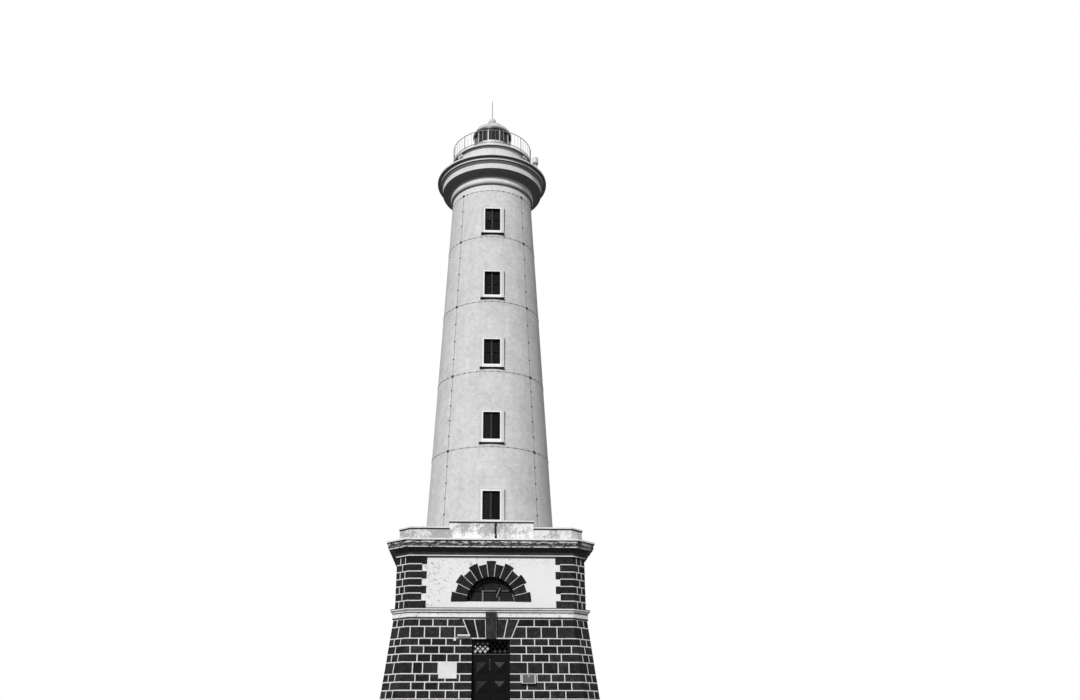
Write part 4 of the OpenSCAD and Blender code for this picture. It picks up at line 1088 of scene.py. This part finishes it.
def layLunettes():
    values = lunetteValues
    half = 0.5 * values["joint"]

    def place(angle, radius, aside=0.0):
        s = radius * math.cos(angle) - aside * math.sin(angle)
        return (s, values["middle"] + radius * math.sin(angle) + aside * math.cos(angle))

    for turn in turns:
        face = wallFace("upper", turn)
        for i in range(values["stones"]):
            outer = values["outer"][i % 2]
            inner = values["inner"]
            start = math.pi * i / values["stones"]
            stop = math.pi * (i + 1) / values["stones"]
            corners = [place(stop, inner), place(start, inner), place(start, outer), place(stop, outer)]
            layStone(face, corners, values["gap"])
            if i > 0:
                short = values["outer"][1]
                corners = [place(start, inner, half), place(start, inner, -half)]
                corners += [place(start, short, -half), place(start, short, half)]
                mortar.append(laySlab(shortMortar, face, corners))
    return finishStones("lunette")


sides = zip(turns, ("front", "right", "back", "left"))
print("stones laid:", sum(laySide(turn, name) for turn, name in sides) + layQuoins() + layLunettes())
for slab in (stoneSlab, longMortar, shortMortar):
    removePiece(slab["object"])


# Railing: thin upright bars between the posts
railValues = {
    "radius": 1.845, "foot": 25.199, "low": 0.094, "high": 0.768, "bar": 0.007, "sides": 6, "bars": 60,
    "head": [(0.0, 1.6), (0.012, 1.0), (0.0, 0.7)],
}


def buildRailing():
    values = railValues
    length = values["high"] - values["low"]
    master = startRod(values["bar"], length, (0.0, 0.0, 0.5 * length), values["sides"])
    drawEnds(master, looksUp, values["head"])
    places = []
    for i in range(values["bars"]):
        angle = 2.0 * math.pi * (i + 0.5) / values["bars"]
        places.append((around(values["radius"], angle, values["foot"] + values["low"]), (0.0, 0.0, angle)))
    finishCopies(master, places, "railing_bars", "railing paint", "railing_iron")


buildRailing()
print("railing bars ready")


# Clips that hold the conductor tapes, and clamps where tapes cross
shaftShape = {"foot": 6.8, "radius": 2.585, "taper": 0.0476}
clipValues = {
    "rings": [7.417, 10.63, 13.843, 17.056, 20.269, 22.699], "perRing": 48, "ringJitter": 0.012,
    "pitch": [0.643, 0.643, 0.803, 0.803, 0.803], "pitchJitter": 0.03, "lift": 0.0053,
    "ring": (0.013, 0.042, 0.027), "upright": (0.013, 0.0672, 0.0432), "clamp": (0.022, 0.11, 0.085),
    "rim": 0.2, "step": 0.35, "taper": (1.0, 0.6, 0.6), "bolt": (0.008, 0.01), "boltOut": 0.004,
    "boltPlace": 0.36, "boltSides": 6, "boltSoft": 0.0015,
}


def makeClip(out, wide, high, bolts=()):
    values = clipValues
    clip = startBox((out, wide, high), (0.5 * out, 0.0, 0.0))
    rim, step = values["rim"] * high, values["step"] * out
    pressFaces(clip, lambda face: face.normal.x > flat, rim, (step, 0.0, 0.0), values["taper"])
    parts = [clip]
    for side in bolts:
        place = (out + values["boltOut"], side * values["boltPlace"] * wide, 0.0)
        bolt = startRod(*values["bolt"], place, values["boltSides"], toSide)
        softEdges(bolt, values["boltSoft"])
        parts.append(bolt)
    return joinPieces(parts, "clip") if bolts else clip


def clipPlace(z, angle):
    reach = shaftShape["radius"] - shaftShape["taper"] * (z - shaftShape["foot"]) + clipValues["lift"]
    return around(reach, angle, z), (0.0, -math.atan(shaftShape["taper"]), angle)


def buildClips():
    values = clipValues
    corners = [math.radians(turn + 45) for turn in turns]
    rings = []
    clamps = []
    uprights = []
    for z in values["rings"]:
        clamps += [clipPlace(z, angle) for angle in corners]
        for i in range(values["perRing"]):
            if i % (values["perRing"] // len(corners)):
                angle = corners[0] + 2.0 * math.pi * i / values["perRing"]
                angle += random.uniform(-values["ringJitter"], values["ringJitter"])
                rings.append(clipPlace(z, angle))
    for low, high, pitch in zip(values["rings"][:-1], values["rings"][1:], values["pitch"]):
        steps = round((high - low) / pitch)
        for i in range(1, steps):
            z = low + (high - low) * i / steps + random.uniform(-values["pitchJitter"], values["pitchJitter"])
            uprights += [clipPlace(z, angle) for angle in corners]
    pieces = [
        (makeClip(*values["ring"]), rings, "ring_clips"),
        (makeClip(*values["upright"]), uprights, "upright_clips"),
        (makeClip(*values["clamp"], (-1, 1)), clamps, "conductor_clamps"),
    ]
    for piece in pieces:
        finishCopies(*piece, "conductor clips", "railing_iron")
    return len(rings) + len(uprights) + len(clamps)


print("clips:", buildClips())


# Windows of the shaft: slats and boards on the two lower ones, ironwork on the others
windowValues = {
    "high": 1.1, "sash": 0.05, "inset": 0.09, "faces": [2.560, 2.407, 2.255, 2.102, 1.949],
    "clearWide": 0.26, "clearX": 0.155, "shuttered": (0, 1), "glazed": (2, 3, 4),
}


# A place at a window, by its way across, out of the leaves and up from the foot
def atWindow(index, x, depth, rise, turn=origin):
    y = windowValues["inset"] - windowValues["faces"][index] + depth
    return (x, y, windowRows["foot"] + windowRows["step"] * index + rise), turn


# The copies on the front are doubled by a half turn for the back of the tower
def finishBothSides(master, places, name, paint):
    front = layCopies(master, places, name)
    back = copyPiece(front)
    back.rotation_euler = (0.0, 0.0, math.pi)
    applyPlace(back)
    finishPiece(joinPieces([front, back], name), paints[paint])


shutterValues = {
    "slats": 12, "slatPlay": 0.006, "slatThick": 0.008, "slatDepth": 0.0165, "slatTilt": 20.0,
    "slatSoft": 0.003, "boardWide": 0.078, "boardThick": 0.014, "boardPlay": 0.008, "boardPitch": 0.085,
    "boardDepth": 0.024, "boardSoft": 0.004,
}


def buildShutters():
    values = shutterValues
    high, sash, clearX = windowValues["high"], windowValues["sash"], windowValues["clearX"]
    step = (high - 2 * sash) / values["slats"]
    slat = startBox((windowValues["clearWide"] - values["slatPlay"], values["slatThick"], 0.5 * step))
    softEdges(slat, values["slatSoft"])
    tilt = (math.radians(values["slatTilt"]), 0.0, 0.0)
    places = []
    for index in windowValues["shuttered"]:
        for i in range(values["slats"]):
            places.append(atWindow(index, -clearX, values["slatDepth"], sash + (i + 0.5) * step, tilt))
    # the slats take lighter paint than the board behind them: painted light on the slats against painted
    # shade in the gaps
    finishBothSides(slat, places, "shutter_slats", "slat paint")
    board = startBox((values["boardWide"], values["boardThick"], high - 2 * sash - values["boardPlay"]))
    softEdges(board, values["boardSoft"])
    places = []
    for index in windowValues["shuttered"]:
        for k in (-1, 0, 1):
            x = clearX + values["boardPitch"] * k
            places.append(atWindow(index, x, values["boardDepth"], 0.5 * high))
    finishBothSides(board, places, "shutter_boards", "shutter paint")


# The raised stile where two leaves meet, on every window of the shaft
stileValues = {
    "wide": 0.066, "thick": 0.01, "play": 0.02, "rim": 0.008, "step": 0.004, "x": -0.012, "depth": -0.006,
}


def buildStiles():
    values = stileValues
    stile = startBox((values["wide"], values["thick"], windowValues["high"] - values["play"]))
    pressFaces(stile, looksFront, values["rim"], forwards(values["step"]))
    middle = 0.5 * windowValues["high"]
    count = len(windowValues["faces"])
    places = [atWindow(index, values["x"], values["depth"], middle) for index in range(count)]
    finishBothSides(stile, places, "meeting_stiles", "meeting stile paint")


# Casements: hinge knuckles, knobs and the boarded pane at the upper left of one window
casementValues = {
    "knuckle": (0.009, 0.07), "knuckleSides": 8, "knuckleEnd": [(0.0, 0.7)], "hingeX": 0.322,
    "hingeDepth": -0.006, "hinges": (0.2, 0.9),
    "knob": (0.022, 0.012, 0.09), "knobRim": 0.004, "knobStep": 0.022, "knobTaper": (0.7, 1.0, 0.3),
    "knobDepth": -0.014, "knobRise": 0.48,
    "paneThick": 0.006, "paneHigh": 0.475, "paneDepth": 0.038, "paneRise": 0.815, "paneRim": 0.018,
    "paneStep": 0.004, "boarded": 4,
}


def buildCasements():
    values = casementValues
    knuckle = startRod(*values["knuckle"], sides=values["knuckleSides"])
    drawEnds(knuckle, looksUpOrDown, values["knuckleEnd"])
    places = []
    for index in windowValues["glazed"]:
        for side in (-1, 1):
            for rise in values["hinges"]:
                places.append(atWindow(index, side * values["hingeX"], values["hingeDepth"], rise))
    finishBothSides(knuckle, places, "casement_hinges", "casement paint")
    knob = startBox(values["knob"], forwards(0.5 * values["knob"][1]))
    pressFaces(knob, looksFront, values["knobRim"], forwards(values["knobStep"]), values["knobTaper"])
    places = [atWindow(i, 0.0, values["knobDepth"], values["knobRise"]) for i in windowValues["glazed"]]
    finishBothSides(knob, places, "casement_knobs", "chain metal")
    size = (windowValues["clearWide"], values["paneThick"], values["paneHigh"])
    place = atWindow(values["boarded"], -windowValues["clearX"], values["paneDepth"], values["paneRise"])[0]
    panel = startBox(size, place, "boarded_pane")
    pressFaces(panel, looksFront, values["paneRim"], forwards(values["paneStep"]))
    finishPiece(panel, paints["boarded pane paint"])


buildShutters()
buildStiles()
buildCasements()
print("window details ready")


# Door leaves: a bead round each panel
doorFace = -3.3994
beadValues = {
    "x": 0.305, "wide": 0.416, "high": 0.42875, "foot": 0.385, "step": 0.61375, "rows": 4,
    "bead": 0.015, "sink": 0.012, "proud": 0.004, "soft": 0.003,
}


def makeBead():
    values = beadValues
    deselectAll()
    bpy.ops.mesh.primitive_plane_add(size=1.0, rotation=toFront)
    bead = bpy.context.object
    bead.scale = (values["wide"], values["high"], 1.0)
    applyPlace(bead)
    openForEdit(bead)
    bpy.ops.mesh.inset(thickness=values["bead"])
    bpy.ops.mesh.delete(type="FACE")
    bpy.ops.mesh.select_all(action="SELECT")
    drawOut(forwards(values["sink"] + values["proud"]))
    bpy.ops.mesh.select_all(action="SELECT")
    bpy.ops.mesh.normals_make_consistent(inside=False)
    bpy.ops.mesh.bevel(offset=values["soft"], segments=1, affect="EDGES")
    closeEdit()
    return bead


def buildLeafBeads(side, body):
    values = beadValues
    places = []
    for row in range(values["rows"]):
        z = values["foot"] + row * values["step"] + 0.5 * values["high"]
        places.append(((side * values["x"], doorFace + values["sink"], z), origin))
    finishCopies(makeBead(), places, body + "_beads", "bead paint", "door_wood", body)


# A chain on the left leaf, hung from a staple, with a lock at its end
chainValues = {
    "x": -0.03, "out": 0.016, "top": 2.69, "pitch": 0.0325, "links": 9, "swing": 0.003, "wave": 1.7,
    "link": {"major_radius": 0.011, "minor_radius": 0.0034, "major_segments": 12, "minor_segments": 6},
    "stretch": (0.85, 1.0, 1.7),
    "staple": (0.026, 0.008, 0.034), "stapleOut": 0.004, "stapleZ": 2.712, "stapleRim": 0.006,
    "stapleStep": 0.014, "stapleTaper": (0.6, 1.0, 0.5),
    "lock": (0.024, 0.014, 0.03), "lockZ": 2.4, "lockSoft": 0.003,
}


def buildChain():
    values = chainValues
    deselectAll()
    bpy.ops.mesh.primitive_torus_add(rotation=toFront, **values["link"])
    link = bpy.context.object
    applyPlace(link)
    openForEdit(link)
    bpy.ops.transform.resize(value=values["stretch"])
    closeEdit()
    places = []
    for i in range(values["links"]):
        x = values["x"] + values["swing"] * math.sin(values["wave"] * i)
        turn = (0.0, 0.0, 0.5 * math.pi if i % 2 else 0.0)
        places.append(((x, doorFace - values["out"], values["top"] - values["pitch"] * i), turn))
    finishCopies(link, places, "leaf_chain", "chain metal", "fitting_metal", "left_leaf")
    staple = startBox(values["staple"], (values["x"], doorFace - values["stapleOut"], values["stapleZ"]))
    step = forwards(values["stapleStep"])
    pressFaces(staple, looksFront, values["stapleRim"], step, values["stapleTaper"])
    lock = startBox(values["lock"], (values["x"], doorFace - values["out"], values["lockZ"]))
    softEdges(lock, values["lockSoft"], 2)
    fittings = joinPieces([staple, lock], "chain_staple")
    finishPiece(fittings, paints["chain metal"], "left_leaf")


# A pull on its plate on the right leaf
pullValues = {
    "x": 0.05, "plate": (0.05, 0.006, 0.2), "plateOut": 0.003, "plateZ": 1.18, "soft": 0.002,
    "rod": (0.009, 0.03), "rodOut": 0.02, "rodZ": 1.22, "head": [(0.0, 1.9), (0.02, 1.0), (0.006, 0.6)],
    "smooth": 40,
}


def buildPull():
    values = pullValues
    plate = startBox(values["plate"], (values["x"], doorFace - values["plateOut"], values["plateZ"]))
    softEdges(plate, values["soft"])
    pull = startRod(*values["rod"], (values["x"], doorFace - values["rodOut"], values["rodZ"]), tilt=toFront)
    drawEnds(pull, looksFront, values["head"], outwards)
    joined = joinPieces([plate, pull], "leaf_pull")
    smoothByAngle(joined, values["smooth"])
    finishPiece(joined, paints["pale worn paint"], "right_leaf")


# Lozenge panes behind the lattice over the door: pale at the lower left, dark elsewhere, with dark glass on
# the right and, on the upper left row, painted shade where the arch's shadow falls
lowerLeft, upperLeft, right = (-0.535, -0.365, -0.195), (-0.45, -0.28, -0.11), (0.145, 0.315, 0.485)
lozengeValues = {
    "y": -3.379, "thick": 0.006, "rim": 0.01, "step": 0.003,
    "pale_lozenges": (0.084, "pale sheet", [(lowerLeft, 2.98), (upperLeft, 3.065)]),
    "small_lozenges": (0.052, "pale sheet", [(lowerLeft, 3.138)]),
    # dark glass on the right, and painted shade of the arch on the upper left row
    "dark_lozenges": (0.07, "dark glass lozenges", [(upperLeft, 3.235), (right, 2.98)]),
}


def buildLozenges(name):
    values = lozengeValues
    side, paint, rows = values[name]
    lozenge = startBox((side, values["thick"], side))
    pressFaces(lozenge, looksFront, values["rim"], forwards(values["step"]))
    quarter = (0.0, 0.25 * math.pi, 0.0)
    places = [((x, values["y"], z), quarter) for row, z in rows for x in row]
    finishCopies(lozenge, places, name, paint, "frame_wood")


# Worn bead along the rail over the leaves
transomBeadValues = {"size": (1.22, 0.012, 0.026), "place": (0.0, -3.4224, 2.879), "soft": 0.004}


def buildTransomBead():
    bead = startBox(transomBeadValues["size"], transomBeadValues["place"], "transom_bead")
    softEdges(bead, transomBeadValues["soft"], 2)
    finishPiece(bead, paints["worn ledge paint"])


buildLeafBeads(-1, "left_leaf")
buildLeafBeads(1, "right_leaf")
buildChain()
buildPull()
for name in ("pale_lozenges", "small_lozenges", "dark_lozenges"):
    buildLozenges(name)
buildTransomBead()
print("door details ready")


# Battens left in the front half-round window: posts, leaning bars and two crossbars
battenValues = {
    "soft": 0.004,
    "battens": [  # start, end, width, thickness, depth
        ((-0.295, 4.69), (-0.295, 5.04), 0.05, 0.02, -3.147),
        ((0.197, 4.83), (0.326, 5.17), 0.034, 0.016, -3.145),
        ((0.293, 4.70), (0.293, 4.85), 0.03, 0.014, -3.144),
        ((0.84, 4.72), (0.765, 4.94), 0.036, 0.02, -3.147),
        ((-0.34, 5.05), (0.174, 5.05), 0.024, 0.012, -3.143),
        ((0.371, 5.05), (0.628, 5.05), 0.02, 0.012, -3.143),
    ],
}


def makeBatten(start, end, wide, thick, depth):
    along = Vector((end[0] - start[0], 0.0, end[1] - start[1]))
    batten = startBox((wide, thick, along.length))
    softEdges(batten, battenValues["soft"])
    batten.rotation_euler = (0.0, math.atan2(along.x, along.z), 0.0)
    batten.location = (0.5 * (start[0] + end[0]), depth, 0.5 * (start[1] + end[1]))
    applyPlace(batten)
    return batten


battens = joinPieces([makeBatten(*batten) for batten in battenValues["battens"]], "lunette_battens")
finishPiece(battens, paints["batten wood"])


# Fittings on the leaning front wall, modelled upright, then leant and set at a place and height
def finishOnFrontWall(piece, place, paint):
    wall = storeys["lower"]
    x, z = place
    piece.rotation_euler = (-math.atan(wall["lean"]), 0.0, 0.0)
    piece.location = (x, wall["lean"] * z - wall["half"], z)
    applyPlace(piece)
    finishPiece(piece, paints[paint])


boardValues = {
    "place": (-1.47, 2.08), "x": (-0.27, 0.27), "z": (0.04, 0.5), "out": 0.025,
    "screw": (0.011, 0.006), "head": [(0.003, 0.6)],
}
meterValues = {
    "place": (1.275, 1.9), "door": (0.452, 0.006, 0.282), "doorPlace": (0.0, -0.132, 0.15), "doorRim": 0.02,
    "doorSink": 0.0045, "soft": 0.003,
    "rims": [
        ((0.47, 0.012, 0.014), (0.0, -0.137, 0.012)), ((0.47, 0.012, 0.014), (0.0, -0.137, 0.29)),
        ((0.034, 0.014, 0.27), (-0.219, -0.137, 0.151)), ((0.034, 0.014, 0.27), (0.219, -0.137, 0.151)),
    ],
    "lock": (0.022, 0.014, (0.0, -0.14, 0.236)), "lockFace": [(0.0, 0.7), (0.005, 0.8)],
}
lampValues = {
    "place": (-0.94, 3.4), "tube": (0.016, 0.4, (0.0, -0.112, 0.012), 16), "tubeEnd": [(0.0, 0.7)],
    "smooth": 50, "box": ((0.09, 0.07, 0.1), (-0.31, -0.035, -0.05)), "boxSoft": 0.008,
    "arm": (0.011, 0.26, (-0.2, -0.05, 0.03), 10), "armTilt": 68.0, "armEnd": [(0.0, 0.8)], "armFlat": 0.6,
}


def buildBoardScrews():
    values = boardValues
    heads = []
    for x in values["x"]:
        for z in values["z"]:
            head = startRod(*values["screw"], (x, -values["out"], z), tilt=toFront)
            drawEnds(head, looksFront, values["head"], outwards)
            heads.append(head)
    finishOnFrontWall(joinPieces(heads, "board_screws"), values["place"], "fitting paint")


def buildMeterDetails():
    values = meterValues
    door = startBox(values["door"], values["doorPlace"], "meter_door")
    pressFaces(door, looksFront, values["doorRim"], forwards(-values["doorSink"]))
    finishOnFrontWall(door, values["place"], "meter box enamel")
    rims = []
    for size, place in values["rims"]:
        rims.append(startBox(size, place))
        softEdges(rims[-1], values["soft"])
    lock = startRod(*values["lock"], tilt=toFront)
    drawEnds(lock, looksFront, values["lockFace"], outwards)
    finishOnFrontWall(joinPieces(rims + [lock], "meter_rims"), values["place"], "rim paint")


def buildLampDetails():
    values = lampValues
    tube = startRod(*values["tube"], toSide, "lamp_tube")
    drawEnds(tube, looksSideways, values["tubeEnd"])
    smoothByAngle(tube, values["smooth"])
    finishOnFrontWall(tube, values["place"], "gallery lamp paint")
    box = startBox(*values["box"])
    softEdges(box, values["boxSoft"], 2)
    arm = startRod(*values["arm"], (0.0, math.radians(values["armTilt"]), 0.0))
    drawEnds(arm, lambda face: abs(face.normal.x) > values["armFlat"], values["armEnd"])
    finishOnFrontWall(joinPieces([box, arm], "lamp_bracket"), values["place"], "rim paint")


buildBoardScrews()
buildMeterDetails()
buildLampDetails()
print("wall fittings ready")


# Gallery lamp: a dark band and the four guards of its cage
galleryLampValues = {
    "turn": 53.0, "reach": 2.445, "foot": 24.169, "band": (0.13, 0.05), "bandRise": 0.235, "bandSides": 24,
    "bandEnd": [(0.0, 0.9)], "guards": 4, "guard": (0.016, 0.016, 0.33), "guardReach": 0.127,
    "guardRise": 0.385, "soft": 0.003,
}


def buildGalleryLamp():
    values = galleryLampValues
    turn = math.radians(values["turn"])
    middle = Vector((values["reach"] * math.sin(turn), -values["reach"] * math.cos(turn), values["foot"]))
    place = middle + Vector((0.0, 0.0, values["bandRise"]))
    band = startRod(*values["band"], place, values["bandSides"], name="gallery_lamp_band")
    drawEnds(band, looksUpOrDown, values["bandEnd"])
    finishPiece(band, paints["conductor clips"])
    guard = startBox(values["guard"])
    softEdges(guard, values["soft"])
    places = []
    for k in range(values["guards"]):
        angle = turn + 0.25 * math.pi + 0.5 * math.pi * k
        aside = Vector(around(values["guardReach"], angle, values["guardRise"]))
        places.append((middle + aside, (0.0, 0.0, angle)))
    finishCopies(guard, places, "gallery_lamp_guards", "railing paint", "fitting_metal")


# Standing seams on the dome, drawn out along its profile from a small block
domeValues = {
    "eave": 0.925, "rise": 0.64, "foot": 26.899, "seams": 10, "turn": 22.0, "wide": 0.016, "high": 0.012,
    "topAngle": 0.13, "points": 9, "steep": 0.5,
}


def buildSeams():
    values = domeValues
    ball = (values["eave"] ** 2 + values["rise"] ** 2) / (2 * values["rise"])
    middle = values["foot"] + values["rise"] - ball
    angles = np.linspace(math.acos((ball - values["rise"]) / ball), values["topAngle"], values["points"])
    points = [Vector((ball * math.sin(angle), 0.0, middle + ball * math.cos(angle))) for angle in angles]
    seam = startBox((values["high"] * 2, values["wide"], values["high"]), points[0])
    for low, high in zip(points[:-1], points[1:]):
        openForEdit(seam)
        selectFaces(seam, lambda face: face.normal.z > values["steep"])
        drawOut(tuple(high - low))
        closeEdit()
    places = []
    for k in range(values["seams"]):
        places.append((origin, (0.0, 0.0, math.radians(90 + values["turn"] + 360 * k / values["seams"]))))
    finishPiece(layCopies(seam, places, "roof_seams"), roofPaint)


# Round bowl that closes the ventilator's cap from below
bowlValues = {
    "rim": (0.178, 0.02, (0.0, 0.0, 27.798), 40), "smooth": 50,
    "bowl": [(-0.025, 0.965), (-0.03, 0.94), (-0.03, 0.9), (-0.025, 0.86), (-0.02, 0.83)],
}


def buildBowl():
    bowl = startRod(*bowlValues["rim"], name="vent_bowl")
    drawEnds(bowl, looksDown, bowlValues["bowl"])
    smoothByAngle(bowl, bowlValues["smooth"])
    finishPiece(bowl, paints["gallery lamp paint"])


# Lumps of old limewash along the fillet under the corona
lumpValues = {
    "perSide": 37, "reach": 3.7, "span": 3.15, "z": 6.515, "lift": (-0.012, 0.02), "size": (0.016, 0.04),
    "stretch": (0.8, 2.2), "squash": (1.0, 0.45, 0.6), "rough": 0.25, "seed": 4,
    "smooth": 60,
}


def buildLumps():
    values = lumpValues
    deselectAll()
    bpy.ops.mesh.primitive_ico_sphere_add(subdivisions=1, radius=1.0)
    lump = bpy.context.object
    openForEdit(lump)
    bpy.ops.transform.resize(value=values["squash"])
    bpy.ops.transform.vertex_random(offset=values["rough"], seed=values["seed"])
    closeEdit()
    copies = []
    for turn in turns:
        for k in range(values["perSide"]):
            s = random.uniform(-values["span"], values["span"])
            size = random.uniform(*values["size"])
            piece = copyPiece(lump)
            piece.scale = (size * random.uniform(*values["stretch"]), size, size)
            piece.location = (s, -values["reach"], values["z"] + random.uniform(*values["lift"]))
            applyPlace(piece)
            piece.rotation_euler = (0.0, 0.0, math.radians(turn))
            applyPlace(piece)
            copies.append(piece)
    removePiece(lump)
    lumps = joinPieces(copies, "limewash_lumps")
    smoothByAngle(lumps, values["smooth"])
    finishPiece(lumps, mortarLime)


buildGalleryLamp()
buildSeams()
buildBowl()
buildLumps()
print("crown and cornice details ready")


# Floor, light and camera

# 1 for rays from the camera, a mirror or a pane, and 0 for light
def seenRays():
    path = addNode("LightPath", {})
    seen = highest(path["Is Camera Ray"], path["Is Glossy Ray"])
    return highest(seen, path["Is Transmission Ray"])


floorValues = {"size": 500.0, "z": -0.002, "shown": 0.82, "bounce": 0.22}
deselectAll()
bpy.ops.mesh.primitive_plane_add(size=floorValues["size"], location=(0.0, 0.0, floorValues["z"]))
floor = bpy.context.object
floor.name = "studio_floor"
applyPlace(floor)
newMaterial("studio floor", 0.9, 0.1)
tones = mixColours(seenRays(), grey(floorValues["bounce"]), grey(floorValues["shown"]))
floor.data.materials.append(finishMaterial(tones))

lightValues = {
    "sunStrength": 2.65, "sunAngle": 5.0, "azimuth": -20.0, "height": 31.0, "away": 60.0, "sky": 0.36,
    "backdrop": 1.0,
}
azimuth = math.radians(lightValues["azimuth"] - 90.0)
height = math.radians(lightValues["height"])
toSun = Vector(around(math.cos(height), azimuth, math.sin(height)))
bpy.ops.object.light_add(type="SUN", location=toSun * lightValues["away"])
sun = bpy.context.object
sun.rotation_euler = toSun.to_track_quat("Z", "Y").to_euler()
sun.data.energy = lightValues["sunStrength"]
sun.data.angle = math.radians(lightValues["sunAngle"])

world = bpy.data.worlds.new("studio")
bpy.context.scene.world = world
world.use_nodes = True
tree = world.node_tree
tree.nodes.clear()
lighting = addNode("Background", {"Color": grey(1.0), "Strength": lightValues["sky"]})
backdrop = addNode("Background", {"Color": grey(1.0), "Strength": lightValues["backdrop"]})
either = addNode("MixShader", {0: seenRays(), 1: lighting[0], 2: backdrop[0]})
addNode("OutputWorld", {"Surface": either[0]})

cameraValues = {
    "place": (-0.74, -35.99, 0.45), "tilt": 113.0, "heading": -2.2, "lens": 29.917, "sensor": 36.0,
    "shift": 0.03185, "far": 400.0,
}
bpy.ops.object.camera_add(location=cameraValues["place"])
camera = bpy.context.object
camera.rotation_euler = (math.radians(cameraValues["tilt"]), 0.0, math.radians(cameraValues["heading"]))
camera.data.sensor_width = cameraValues["sensor"]
camera.data.lens = cameraValues["lens"]
camera.data.shift_x = cameraValues["shift"]
camera.data.clip_end = cameraValues["far"]
bpy.context.scene.camera = camera
bpy.context.scene.view_settings.view_transform = "Standard"
print("stage ready")
